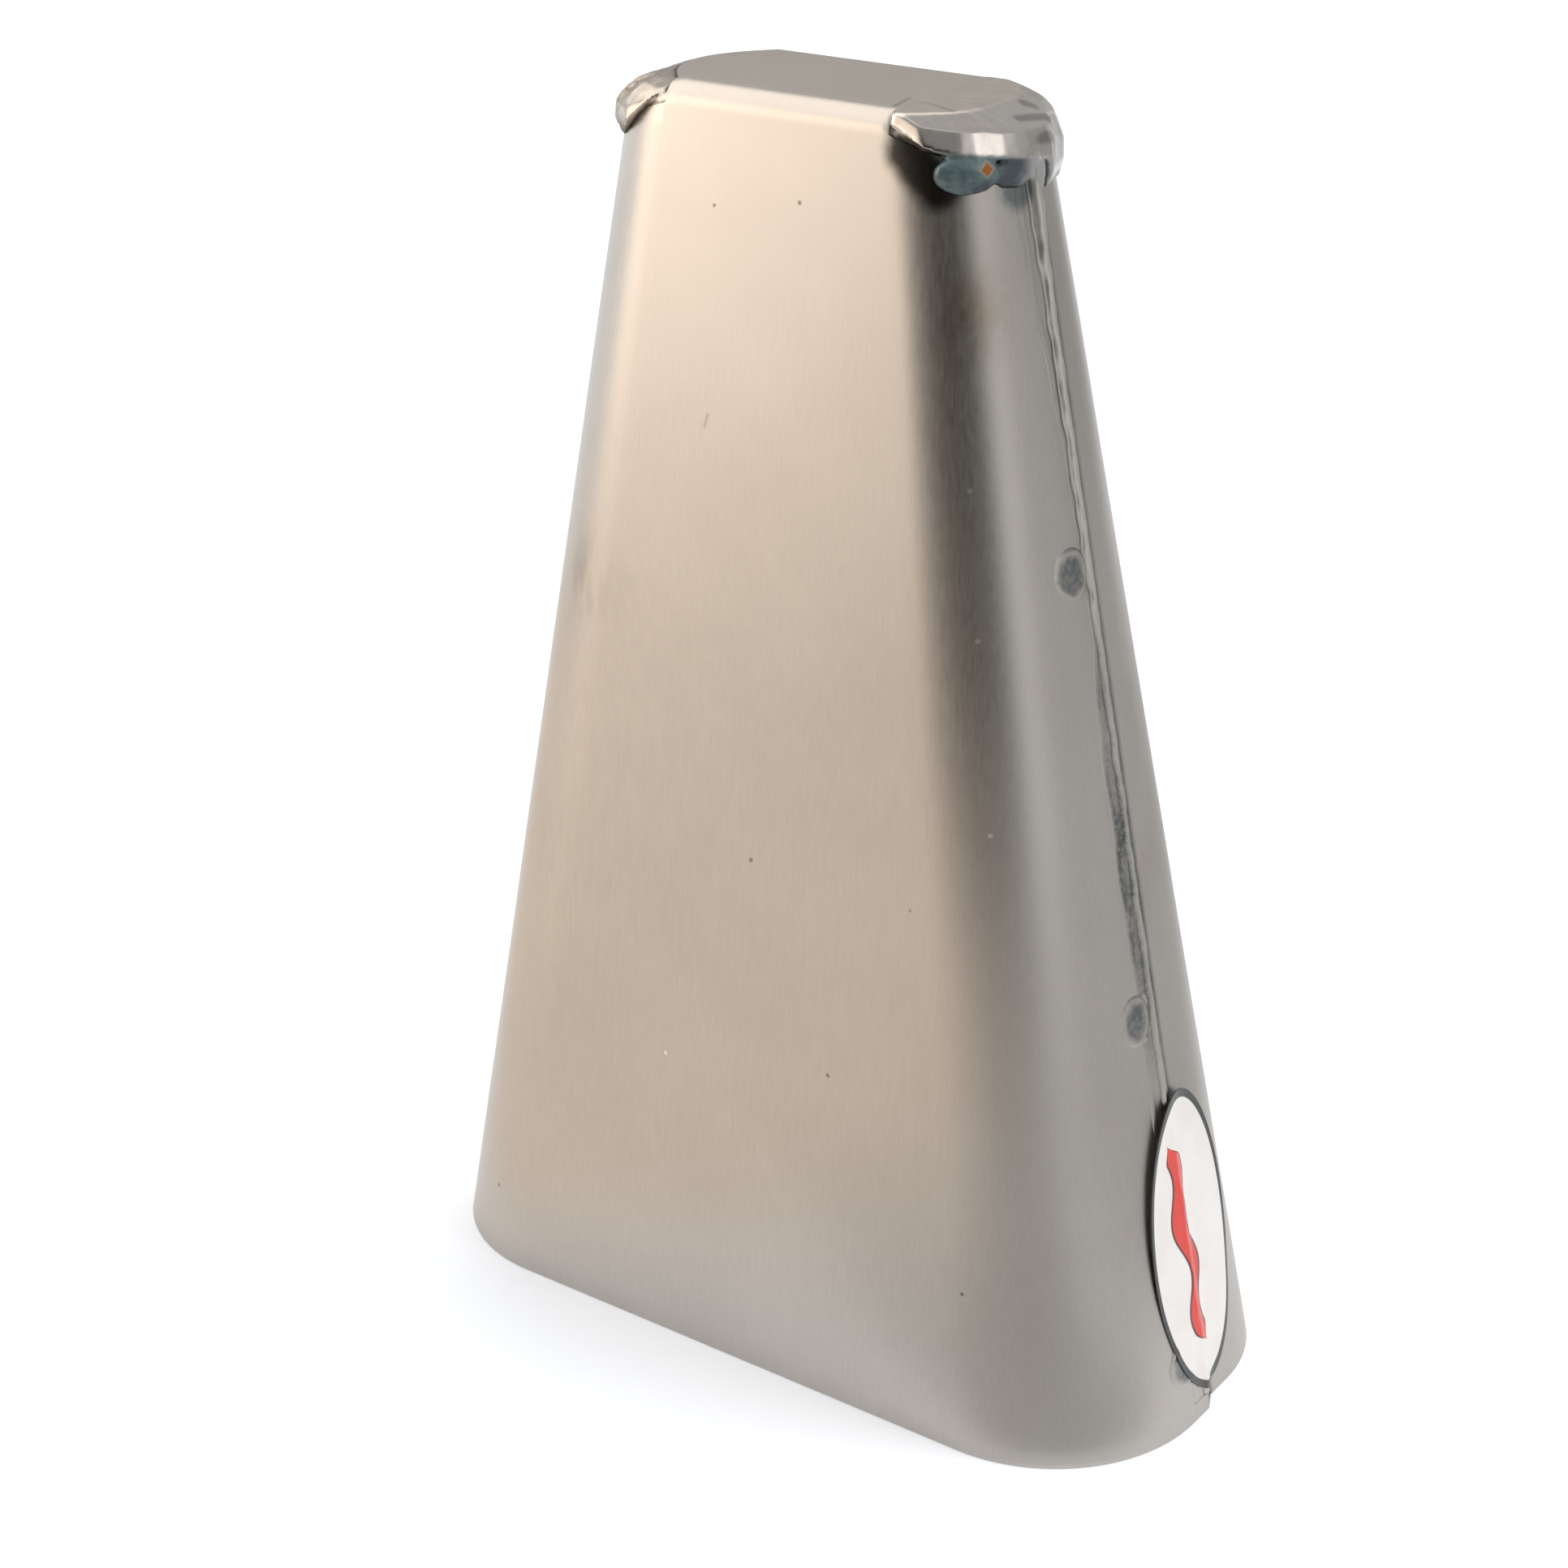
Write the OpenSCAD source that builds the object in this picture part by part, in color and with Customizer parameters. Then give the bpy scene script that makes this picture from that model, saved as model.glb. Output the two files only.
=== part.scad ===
// Hand-held bongo bell: one steel sheet folded over a flat crown, with its four side flaps
// lapped along the narrow ends, spot welded, edge welded and closed at the crown by filler metal.
// Millimetres. The bell stands on its mouth: the mouth rim lies in z = 0, the crown is on top,
// x runs along the wide side of the mouth, and the front wall faces -y.

/* [Bell body] */
// Height from the mouth rim to the top of the crown
height = 212; // [160:1:260]
// Width of the mouth, over the front flaps
mouth_w = 148.5; // [120:0.5:180]
// Depth of the mouth, front wall to rear wall
mouth_d = 69; // [58:0.5:84]
// Width of the bell where the side walls would reach the crown
crown_w = 68.5; // [56:0.5:80]
// Depth of the bell where the walls would reach the crown
crown_d = 31; // [26:0.5:38]
// Width of the flat down each narrow end, at the mouth
mouth_flat = 12.5; // [9:0.5:16]
// Width of the flat down each narrow end, at the crown
crown_flat = 3; // [2.5:0.5:6]
// Sheet thickness, measured level
sheet_t = 1.5; // [1:0.1:2]

/* [Crown] */
// Outside radius of the folds between the crown and the two walls
fold_r = 3.5; // [2.6:0.1:5]
// How far the rounded ends of the crown stand out past its folds
crown_bulge = 6.4; // [4:0.2:8]
// Drop of the flap tops below the crown
flap_drop = 9.6; // [7:0.2:13]
// Turn around each bend over which the cut edge falls from the fold to the flap top
cut_turn = 40; // [30:1:55]

/* [Lap seams] */
// Turn around the front bend that a rear flap reaches under the front flap
lap_turn = 35; // [30:1:45]
// Air between the lapped flaps
lap_gap = 0.15; // [0.05:0.05:0.3]
// Height of the clipped corner of each front flap at the rim
clip_h = 2.5; // [1:0.5:5]
// Width of the edge weld on the outer flap
bead_in = 1.2; // [0.8:0.1:1.6]
// Width of the edge weld past the outer flap
bead_out = 1.1; // [0.6:0.1:1.6]
// Rise of the edge weld above the outer flap
bead_rise = 0.4; // [0.2:0.05:0.8]
// Distance from the clipped corner up to the lower end of the edge weld
bead_start = 3.5; // [1:0.5:8]

/* [Crown welds] */
// Overhang of the filler past the wall
weld_proud = 2.2; // [1.4:0.1:3.4]
// Run of the filler down over the outside of the flaps
weld_lap = 2.2; // [1:0.1:3]
// Radius of the shoulder around the top of the filler
weld_round = 1.8; // [1:0.1:3]
// Turn around the bend over which the filler swells from its tip to its full section
swell_turn = 20; // [10:1:30]
// Share of the overhang that the filler keeps along the rear bend
weld_rear = 0.5; // [0.2:0.05:1]
// Share of the filler top that is ground level with the crown, right end
right_ground = 1; // [0.3:0.05:1]
// Share of the filler top that is ground level with the crown, left end
left_ground = 0.4; // [0.3:0.05:1]

/* [Spot welds] */
// Diameter of the electrode mark
spot_d = 7.8; // [6:0.2:8.6]
// Diameter of the fused core in the inner flap
core_d = 5.2; // [4:0.2:5.8]
// Depth of the fused core below the mark's slug
core_depth = 0.4; // [0.2:0.1:0.6]
// Depth of the dished middle of the mark
dish_depth = 0.25; // [0.1:0.05:0.4]
// Sink of the mark's ring below the outside of the flap
ring_sink = 0.05; // [0.05:0.05:0.3]
// Gap between the edge weld and the marks, at the mouth
spot_gap_mouth = 2; // [0.5:0.1:3]
// Gap between the edge weld and the marks, at the crown
spot_gap_crown = 0.1; // [0.1:0.1:1]
// Height of the lower spot weld
spot_low = 11; // [8:1:20]
// Height of the middle spot weld
spot_mid = 71; // [50:1:95]
// Height of the upper spot weld
spot_high = 142; // [120:1:160]

/* [Label] */
// Height of the oval label
label_h = 52.5; // [40:0.5:60]
// Width of the oval label, along the surface
label_w = 24.5; // [18:0.5:28]
// Thickness of the label
label_t = 0.2; // [0.1:0.05:0.4]
// Height of the label's lowest point above the rim
label_foot = 3.5; // [1.5:0.5:12]
// Distance of the label's middle past the edge of the outer flap
label_shift = 1; // [0:0.5:4]
// Adhesive gap under the label
label_gap = 0.05; // [0.05:0.05:0.2]
// Width over which the label drapes from the edge weld down to the rear flap
label_drape = 6; // [4:0.5:8]

/* [Hidden] */

// Steps around each quarter bend, under each lap, around each crown fold and along the weld skins
bend_steps = 18;
lap_steps = 7;
fold_steps = 8;
skin_steps = 8;
bead_rings = 12;
label_cols = 28;
label_rows = 14;
spot_fn = 64;

steel = [0.78, 0.74, 0.69];
filler = [0.55, 0.53, 0.50];
scale_grey = [0.42, 0.44, 0.44];
label_white = [0.96, 0.93, 0.90];

// Half sizes at the mouth and at the crown, and the bend radii that the flats leave
half_w = [mouth_w / 2, crown_w / 2];
half_d = [mouth_d / 2, crown_d / 2];
half_flat = [mouth_flat / 2, crown_flat / 2];
bend_r = half_d - half_flat;
lap_step = sheet_t + lap_gap;

// A size that tapers evenly from the mouth to the crown
function at(pair, z) = pair[0] + (pair[1] - pair[0]) * z / height;
function per_mm(pair) = (pair[1] - pair[0]) / height;
function mix(p, q, k) = p + (q - p) * k;
function smooth(k) = let (c = max(0, min(1, k))) c * c * (3 - 2 * c);
function flat(lists) = [for (l = lists) each l];
function mirror_x(p) = [-p[0], p[1], p[2]];

// Right-hand bends: turn 0 faces the narrow end and turn 90 faces the wall. deep is the distance
// in from the outside of the flaps, and a rear bend starts one lap step in at the end.
function front_bend(turn, z, deep) =
    let (r = at(bend_r, z))
    [at(half_w, z) - r + (r - deep) * cos(turn), -at(half_flat, z) - (r - deep) * sin(turn), z];
function rear_bend(turn, z, deep) =
    let (r = at(bend_r, z) - lap_step)
    [at(half_w, z) - at(bend_r, z) + (r - deep) * cos(turn),
     at(half_d, z) - r + (r - deep) * sin(turn), z];
function front_end(y, z, deep) = [at(half_w, z) - deep, y, z];
function rear_end(y, z, deep) = [at(half_w, z) - lap_step - deep, y, z];

// Crown folds: the wall leans by lean, and the fold turns from the wall to the level crown
lean = atan(-per_mm(half_d));
skin_t = sheet_t * cos(lean);
fold_z = height - fold_r;
fold_top = fold_z + fold_r * sin(lean);
fold_drop = skin_t * sin(lean);
fold_reach = at(half_d, fold_top);
fold_y = fold_reach - fold_r * cos(lean);
flap_top = height - flap_drop;

// Half width of the crown, an arc that starts where the folds end
fold_half = at(half_w, fold_top) - at(bend_r, fold_top);
crown_end_r = (fold_reach * fold_reach + crown_bulge * crown_bulge) / (2 * crown_bulge);
function crown_half(y) =
    fold_half + crown_bulge - crown_end_r + sqrt(crown_end_r * crown_end_r - y * y);

// Height of the cut edge around a bend: from the fold down to the flap top
function cut_z(turn) = mix(fold_top, flap_top, min(1, (90 - turn) / cut_turn));

turns = [for (i = [0 : bend_steps]) 90 - 90 * i / bend_steps];
back_turns = [for (i = [0 : bend_steps]) 90 * i / bend_steps];
lap_turns = [for (i = [0 : lap_steps]) lap_turn * (1 - i / lap_steps)];

// One column of the sheet: outside foot, outside top, inside foot, inside top
function clip_y(z) = -at(half_flat, z) / 2;
function edge_column(foot) =
    [front_end(0, foot, 0), front_end(0, flap_top, 0),
     front_end(0, foot, sheet_t), front_end(0, flap_top - fold_drop, sheet_t)];
function clip_column() =
    [for (deep = [0, sheet_t], z = [0, flap_top - fold_drop * deep / sheet_t])
        front_end(clip_y(z), z, deep)];
function front_column(turn) =
    [for (deep = [0, sheet_t], z = [0, cut_z(turn) - fold_drop * deep / sheet_t])
        front_bend(turn, z, deep)];
function under_column(turn) =
    [for (deep = [0, sheet_t], z = [0, flap_top - fold_drop * deep / sheet_t])
        front_bend(turn, z, lap_step + deep)];
function rear_column(turn) =
    [for (deep = [0, sheet_t], z = [0, cut_z(turn) - fold_drop * deep / sheet_t])
        rear_bend(turn, z, deep)];
function mirror_columns(cols) = [for (i = [len(cols) - 1 : -1 : 0]) [for (p = cols[i]) mirror_x(p)]];

front_right = concat([for (t = turns) front_column(t)], [clip_column(), edge_column(clip_h)]);
rear_right = concat([for (t = lap_turns) under_column(t)], [for (t = back_turns) rear_column(t)]);
front_cols = concat(mirror_columns(front_right), front_right);
rear_cols = concat(rear_right, mirror_columns(rear_right));

// Rows over the crown, one for each station of the crown welds:
// outside left, outside right, inside left, inside right
last_row = 2 * bend_steps + 4;
function fold_row(beta, side) =
    let (half = crown_half(fold_y + fold_r * cos(beta)))
    [for (deep = [0, skin_t], x = [-half, half])
        [x, side * (fold_y + (fold_r - deep) * cos(beta)), fold_z + (fold_r - deep) * sin(beta)]];
function level_row(y) =
    [for (deep = [0, skin_t], x = [-1, 1]) [x * crown_half(y), y, height - deep]];
function crown_row(j) =
    j <= fold_steps ? fold_row(mix(lean, 90, j / fold_steps), -1) :
    j >= last_row - fold_steps ? fold_row(mix(lean, 90, (last_row - j) / fold_steps), 1) :
    level_row(mix(-fold_y, fold_y, (j - fold_steps) / (last_row - 2 * fold_steps)));
crown_rows = [for (j = [0 : last_row]) crown_row(j)];

// Faces of a run of columns, with the pair of columns that carries a fold left open on top.
// The cut edges of the two ends are split along mirrored diagonals.
function run_faces(n, base, open, mirrored_first) = flat([
    for (c = [0 : n - 2])
        let (p = base + 4 * c, q = p + 4)
        concat([[p, p + 1, q + 1, q], [p + 2, q + 2, q + 3, p + 3], [p, q, q + 2, p + 2]],
               c == open ? [] :
               (c < open) == mirrored_first ? [[p + 3, q + 3, q + 1, p + 1]] :
               [[p + 1, p + 3, q + 3, q + 1]])]);
function cap_faces(base, last) =
    [[base, base + 2, base + 3, base + 1], [last, last + 1, last + 3, last + 2]];
function row_faces(p, q) =
    [[p[0], q[0], q[1], p[1]], [p[2], p[3], q[3], q[2]], [p[2], q[2], q[0], p[0]],
     [p[3], p[1], q[1], q[3]]];

module sheet_blank() {
    front_n = len(front_cols);
    rear_n = len(rear_cols);
    rear_base = 4 * front_n;
    row_base = rear_base + 4 * rear_n;
    front_open = front_n / 2 - 1;
    rear_open = rear_n / 2 - 1;
    front_left = 4 * front_open;
    rear_right_top = rear_base + 4 * rear_open;
    first = [front_left + 1, front_left + 5, front_left + 3, front_left + 7];
    final = [rear_right_top + 5, rear_right_top + 1, rear_right_top + 7, rear_right_top + 3];
    rows = [for (j = [0 : last_row])
        j == 0 ? first : j == last_row ? final : [for (k = [0 : 3]) row_base + 4 * (j - 1) + k]];
    polyhedron(
        points = concat(flat(front_cols), flat(rear_cols),
                        flat([for (j = [1 : last_row - 1]) crown_rows[j]])),
        faces = concat(run_faces(front_n, 0, front_open, true), cap_faces(0, rear_base - 4),
                       run_faces(rear_n, rear_base, rear_open, false),
                       cap_faces(rear_base, row_base - 4),
                       flat([for (j = [0 : last_row - 1]) row_faces(rows[j], rows[j + 1])])));
}

// Crown weld stations around the right end: plan normal, and the sheet's cut edge
function station_turn(j) =
    j <= bend_steps ? turns[j] : j >= bend_steps + 4 ? back_turns[j - bend_steps - 4] : 0;
function station_normal(j) =
    let (t = station_turn(j)) [cos(t), j <= bend_steps ? -sin(t) : sin(t), 0];
function station_wall(j, z, deep) =
    j <= bend_steps ? front_bend(turns[j], z, deep) :
    j == bend_steps + 1 ? front_end(clip_y(z), z, deep) :
    j == bend_steps + 2 ? front_end(0, z, deep) :
    j == bend_steps + 3 ? rear_end(bead_out, z, deep) :
    rear_bend(station_turn(j), z, deep);

// The filler swells from a blunt tip to its full section, and its outer skin is a full curve
tip_share = 0.4;
skin_pull = 1.2;
function swell(j) = sin(90 * min(1, (90 - station_turn(j)) / swell_turn));
function keep(j) = j <= bend_steps + 2 ? 1 : mix(1, weld_rear, smooth(station_turn(j) / 45));
function bezier(a, b, c, d, k) =
    let (e = mix(a, b, k), f = mix(b, c, k), g = mix(c, d, k))
    mix(mix(e, f, k), mix(f, g, k), k);

// One ring of the filler: toe on the flap, cut edge, crown edge, ground top, then the outer skin
function weld_ring(j, ground) =
    let (g = swell(j),
         full = mix(tip_share, 1, g),
         proud = station_normal(j) * weld_proud * full * keep(j),
         edge_z = cut_z(station_turn(j)),
         toe = station_wall(j, edge_z - weld_lap * full, 0),
         cut_out = station_wall(j, edge_z, 0),
         cut_in = station_wall(j, edge_z - fold_drop, sheet_t),
         crown_in = crown_rows[j][3],
         crown_out = crown_rows[j][1],
         wall_top = station_wall(j, height, 0),
         top_z = mix(crown_out[2], height, g),
         rim = [wall_top[0], wall_top[1], top_z] + proud * (1 - weld_round / weld_proud),
         shoulder = mix([crown_out[0], crown_out[1], top_z], rim, ground),
         pull_top = [wall_top[0], wall_top[1], shoulder[2]] + proud * skin_pull,
         pull_low = toe + proud * skin_pull + [0, 0, weld_lap])
    concat([toe, cut_out, cut_in, crown_in, crown_out],
           [for (k = [0 : skin_steps - 1]) bezier(shoulder, pull_top, pull_low, toe, k / skin_steps)]);

module crown_weld(ground) {
    rings = [for (j = [1 : last_row - 1]) weld_ring(j, ground)];
    n = len(rings[0]);
    count = len(rings);
    tip_out = weld_lap * tip_share / 2;
    tip_z = fold_top - tip_out;
    tips = [for (s = [-1, 1]) [fold_half - tip_out, s * (at(half_d, tip_z) + lap_gap / 2), tip_z]];
    tip_a = n * count;
    tip_b = tip_a + 1;
    last = n * (count - 1);
    side = flat([for (i = [0 : count - 2], k = [0 : n - 1])
        let (p = n * i + k, q = n * i + (k + 1) % n)
        [[p, q + n, q], [p, p + n, q + n]]]);
    start = [for (k = [4 : n - 1]) [tip_a, k, (k + 1) % n]];
    finish = [for (k = [4 : n - 1]) [tip_b, last + (k + 1) % n, last + k]];
    start_cap = [[tip_a, 1, 4], [tip_a, 0, 1], [1, 3, 4], [1, 2, 3]];
    finish_cap = [[tip_b, last + 4, last + 1], [tip_b, last + 1, last],
                  [last + 1, last + 4, last + 3], [last + 1, last + 3, last + 2]];
    polyhedron(points = concat(flat(rings), tips),
               faces = concat(side, start, finish, start_cap, finish_cap));
}

// Edge weld section, [y, rise]: it starts in the inner corner at the flap's edge
bead_section = concat(
    [[0, 0]],
    [for (i = [0 : skin_steps]) let (a = 90 * i / skin_steps) [-bead_in * cos(a), bead_rise * sin(a)]],
    [for (i = [1 : skin_steps])
        let (a = 90 * i / skin_steps)
        [bead_out * sin(a), (bead_rise + lap_step) * cos(a) - lap_step]],
    [[0, -lap_step]]);
bead_foot = clip_h + bead_start;
bead_head = flap_top - weld_lap - lap_gap;

module seam_bead() {
    n = len(bead_section);
    points = [for (i = [0 : bead_rings], p = bead_section)
        let (z = mix(bead_foot, bead_head, i / bead_rings))
        [at(half_w, z) + p[1], p[0], z]];
    last = n * bead_rings;
    polyhedron(points = points, faces = concat(
        flat([for (i = [0 : bead_rings - 1], k = [0 : n - 1])
            let (p = n * i + k, q = n * i + (k + 1) % n)
            [[p, q + n, q], [p, p + n, q + n]]]),
        [for (k = [1 : n - 2]) [0, k, k + 1]],
        [for (k = [1 : n - 2]) [last, last + k + 1, last + k]]));
}

// Spot weld seat on the outside of the right front flap, square to the surface
function spot_setback(z) = bead_in + at([spot_gap_mouth, spot_gap_crown], z) + spot_d / 2;
module at_spot(z) {
    turn = asin(max(0, (spot_setback(z) - at(half_flat, z)) / at(bend_r, z)));
    rise = -(cos(turn) * (per_mm(half_w) - per_mm(bend_r)) + per_mm(bend_r)
             + sin(turn) * per_mm(half_flat));
    translate([front_bend(turn, z, 0)[0], -spot_setback(z), z])
        rotate([0, 90 - atan(rise), -turn])
            children();
}

// Levels below the seat: the flap curves away from the seat by spot_sag at the rim of the mark
function spot_sag(z) = spot_d * spot_d / (8 * at(bend_r, z));
function ring_level(z) = -spot_sag(z) - ring_sink;
function slug_level(z) = -sheet_t - spot_sag(z) - lap_gap / 2;

module spot_slug(z, top) {
    low = slug_level(z);
    core_low = low - core_depth;
    rotate_extrude($fn = spot_fn)
        polygon([[0, core_low], [core_d / 2, core_low], [core_d / 2, low],
                 [spot_d / 2, low], [spot_d / 2, top], [0, top]]);
}

module spot_weld(z) {
    ring = ring_level(z);
    color(scale_grey)
        at_spot(z)
            difference() {
                spot_slug(z, ring);
                translate([0, 0, ring - dish_depth])
                    cylinder(d1 = core_d, d2 = core_d + 4 * dish_depth, h = 2 * dish_depth, $fn = spot_fn);
            }
}

module bell_sheet() {
    color(steel)
        difference() {
            sheet_blank();
            for (side = [0, 1], z = [spot_low, spot_mid, spot_high])
                mirror([side, 0, 0])
                    at_spot(z)
                        spot_slug(z, sheet_t);
        }
}

module right_crown_weld() {
    color(filler)
        crown_weld(right_ground);
}

module left_crown_weld() {
    color(filler)
        mirror([1, 0, 0])
            crown_weld(left_ground);
}

module right_seam_bead() {
    color(scale_grey)
        seam_bead();
}

module left_seam_bead() {
    color(scale_grey)
        mirror([1, 0, 0])
            seam_bead();
}

module right_spot_weld_upper() {
    spot_weld(spot_high);
}

module right_spot_weld_middle() {
    spot_weld(spot_mid);
}

module right_spot_weld_lower() {
    spot_weld(spot_low);
}

module left_spot_weld_upper() {
    mirror([1, 0, 0])
        spot_weld(spot_high);
}

module left_spot_weld_middle() {
    mirror([1, 0, 0])
        spot_weld(spot_mid);
}

module left_spot_weld_lower() {
    mirror([1, 0, 0])
        spot_weld(spot_low);
}

// A point of the label: s is the distance around the end from the outer flap's edge. The label
// lies on the outer flap, climbs over the edge weld and drapes down to the rear flap.
function label_lift(s) =
    s < 0 ? bead_rise * smooth((s + 2 * bead_in) / bead_in) :
    (bead_rise + lap_step) * (1 - smooth((s - bead_out) / label_drape));
function label_point(s, z, up) =
    let (flat_here = s < 0 ? at(half_flat, z) : at(half_d, z) - (at(bend_r, z) - lap_step),
         r = at(bend_r, z) - (s < 0 ? 0 : lap_step),
         turn = max(0, abs(s) - flat_here) / r * 180 / PI,
         deep = -label_gap - label_lift(s) - up)
    turn == 0 ? (s < 0 ? front_end(s, z, deep) : rear_end(s, z, deep)) :
    s < 0 ? front_bend(turn, z, deep) : rear_bend(turn, z, deep);

module label() {
    // The oval stops just short of its two side points, where its columns would close up
    side_share = 0.998;
    n = label_cols;
    m = label_rows;
    share = [for (i = [0 : n]) -side_share * cos(180 * i / n)];
    skin = [for (up = [0, label_t], k = share, j = [0 : m])
        let (half = label_h / 2 * sqrt(1 - k * k))
        label_point(label_shift + k * label_w / 2, label_foot + label_h / 2 + half * (2 * j / m - 1), up)];
    base = (n + 1) * (m + 1);
    function id(i, j) = i * (m + 1) + j;
    ring = concat([for (i = [0 : n]) id(i, 0)], [for (j = [1 : m]) id(n, j)],
                  [for (i = [n - 1 : -1 : 0]) id(i, m)], [for (j = [m - 1 : -1 : 1]) id(0, j)]);
    color(label_white)
        polyhedron(points = skin, faces = concat(
            flat([for (i = [0 : n - 1], j = [0 : m - 1])
                let (a = id(i, j), b = id(i + 1, j), c = id(i + 1, j + 1), d = id(i, j + 1))
                [[a, b, c], [a, c, d], [base + a, base + c, base + b], [base + a, base + d, base + c]]]),
            flat([for (k = [0 : len(ring) - 1])
                let (p = ring[k], q = ring[(k + 1) % len(ring)])
                [[p, base + q, q], [p, base + p, base + q]]])));
}

bell_sheet();
right_crown_weld();
left_crown_weld();
right_seam_bead();
left_seam_bead();
right_spot_weld_upper();
right_spot_weld_middle();
right_spot_weld_lower();
left_spot_weld_upper();
left_spot_weld_middle();
left_spot_weld_lower();
label();
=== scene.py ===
from math import atan2, cos, degrees, pi, radians, sin

import bmesh
import bpy
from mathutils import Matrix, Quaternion, Vector
from mathutils.bvhtree import BVHTree


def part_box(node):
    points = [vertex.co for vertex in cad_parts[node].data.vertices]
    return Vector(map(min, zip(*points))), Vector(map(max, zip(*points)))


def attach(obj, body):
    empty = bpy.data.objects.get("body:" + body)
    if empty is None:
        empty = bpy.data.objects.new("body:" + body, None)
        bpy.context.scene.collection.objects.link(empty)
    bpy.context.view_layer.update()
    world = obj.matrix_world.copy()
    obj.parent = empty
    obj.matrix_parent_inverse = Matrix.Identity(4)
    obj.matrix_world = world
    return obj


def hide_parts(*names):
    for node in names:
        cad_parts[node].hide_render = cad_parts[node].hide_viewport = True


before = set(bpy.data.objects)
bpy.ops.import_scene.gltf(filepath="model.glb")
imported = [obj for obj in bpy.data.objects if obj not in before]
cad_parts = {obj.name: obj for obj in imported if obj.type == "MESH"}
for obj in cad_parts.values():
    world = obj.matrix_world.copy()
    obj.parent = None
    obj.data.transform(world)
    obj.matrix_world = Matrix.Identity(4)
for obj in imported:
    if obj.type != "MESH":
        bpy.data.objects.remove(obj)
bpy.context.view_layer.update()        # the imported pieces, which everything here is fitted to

mm = 0.001
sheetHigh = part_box("bell_sheet")[1]
tall = sheetHigh.z / mm
sides = {"right": 1, "left": -1}
standOff = 90.0          # how far out in x a flat piece waits, in mm, before it is laid on
print("frame loaded, bell is", round(tall, 1), "mm tall")


# small tools for modelling

def activate(piece):
    bpy.ops.object.select_all(action="DESELECT")
    piece.select_set(True)
    bpy.context.view_layer.objects.active = piece


def startMesh(name):      # an empty mesh, open in edit mode
    bpy.ops.object.select_all(action="DESELECT")
    bpy.ops.mesh.primitive_plane_add(size=mm)
    piece = bpy.context.object
    piece.name = name
    bpy.ops.object.mode_set(mode="EDIT")
    bpy.ops.mesh.select_mode(type="VERT")
    bpy.ops.mesh.delete(type="VERT")
    return piece


def openMesh(piece):
    activate(piece)
    bpy.ops.object.mode_set(mode="EDIT")


def closeMesh():
    bpy.ops.object.mode_set(mode="OBJECT")


def pick(kind, test):     # selects what passes the test, which gets the middle of each element in mm
    bpy.ops.mesh.select_mode(type=kind)
    bpy.ops.mesh.select_all(action="DESELECT")
    mesh = bpy.context.object.data
    loose = bmesh.from_edit_mesh(mesh)
    rows = {"VERT": loose.verts, "EDGE": loose.edges, "FACE": loose.faces}[kind]
    for row in rows:
        corners = [row.co] if kind == "VERT" else [corner.co for corner in row.verts]
        if test(sum(corners, Vector()) / len(corners) / mm):
            row.select_set(True)
    loose.select_flush_mode()
    bmesh.update_edit_mesh(mesh)


def nudge(move):          # moves each selected point by what the function gives for its place, in mm
    mesh = bpy.context.object.data
    loose = bmesh.from_edit_mesh(mesh)
    for point in loose.verts:
        if point.select:
            point.co += Vector(move(point.co / mm)) * mm
    bmesh.update_edit_mesh(mesh)


def modify(piece, kind, **settings):
    activate(piece)
    step = piece.modifiers.new(kind.title(), kind)
    for name, value in settings.items():
        setattr(step, name, value)
    bpy.ops.object.modifier_apply(modifier=step.name)


def layOn(piece, target, side):   # drops a flat piece that stands off an end of the bell onto it
    modify(piece, "SHRINKWRAP", target=target, wrap_method="PROJECT", use_project_x=True,
           use_negative_direction=side > 0, use_positive_direction=side < 0)
    if piece.data.polygons[0].normal.x * side < 0:
        piece.data.flip_normals()


def makeDisc(name, around, radius, rings, spread, middle):     # rings of faces that look along x, in mm
    bpy.ops.object.select_all(action="DESELECT")
    bpy.ops.mesh.primitive_circle_add(vertices=around, radius=radius * mm, fill_type="NGON",
                                      rotation=(0, pi / 2, 0))
    piece = bpy.context.object
    piece.name = name
    bpy.ops.object.transform_apply(location=True, rotation=True, scale=True)
    openMesh(piece)
    bpy.ops.mesh.select_mode(type="FACE")
    bpy.ops.mesh.select_all(action="SELECT")
    for ring in range(rings):
        bpy.ops.mesh.inset(thickness=radius / (rings + 1) * mm)
    bpy.ops.mesh.poke()
    bpy.ops.mesh.select_all(action="SELECT")
    bpy.ops.transform.resize(value=spread, center_override=(0, 0, 0))
    bpy.ops.transform.translate(value=middle * mm)
    closeMesh()
    return piece


def clouds(name, size, depth=2):
    made = bpy.data.textures.new(name, "CLOUDS")
    made.noise_scale = size * mm
    made.noise_depth = depth
    return made


def weigh(piece, name, weightOf):      # a vertex group, weighted by place
    group = piece.vertex_groups.new(name=name)
    for point in piece.data.vertices:
        group.add([point.index], max(0.0, min(1.0, weightOf(point.co / mm))), "REPLACE")


def paint(piece, name, valueOf):       # a value on every point, for the material to read
    layer = piece.data.attributes.new(name, "FLOAT", "POINT")
    for point in piece.data.vertices:
        layer.data[point.index].value = valueOf(point.co / mm)


def smoothStep(low, high, value):
    share = max(0.0, min(1.0, (value - low) / (high - low)))
    return share * share * (3 - 2 * share)


def mixed(low, high, share):
    return low + (high - low) * share


def settle(piece, node, slotName, *materials):
    for material in materials:
        piece.data.materials.append(material)
    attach(piece, "root")
    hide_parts(node)


# small tools for materials

def addNode(tree, kind, values=None, **settings):
    made = tree.nodes.new("ShaderNode" + kind)
    for name, value in settings.items():
        setattr(made, name, value)
    for socket, value in (values or {}).items():
        if isinstance(value, bpy.types.NodeSocket):
            tree.links.new(value, made.inputs[socket])
        else:
            made.inputs[socket].default_value = value
    return made


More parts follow.
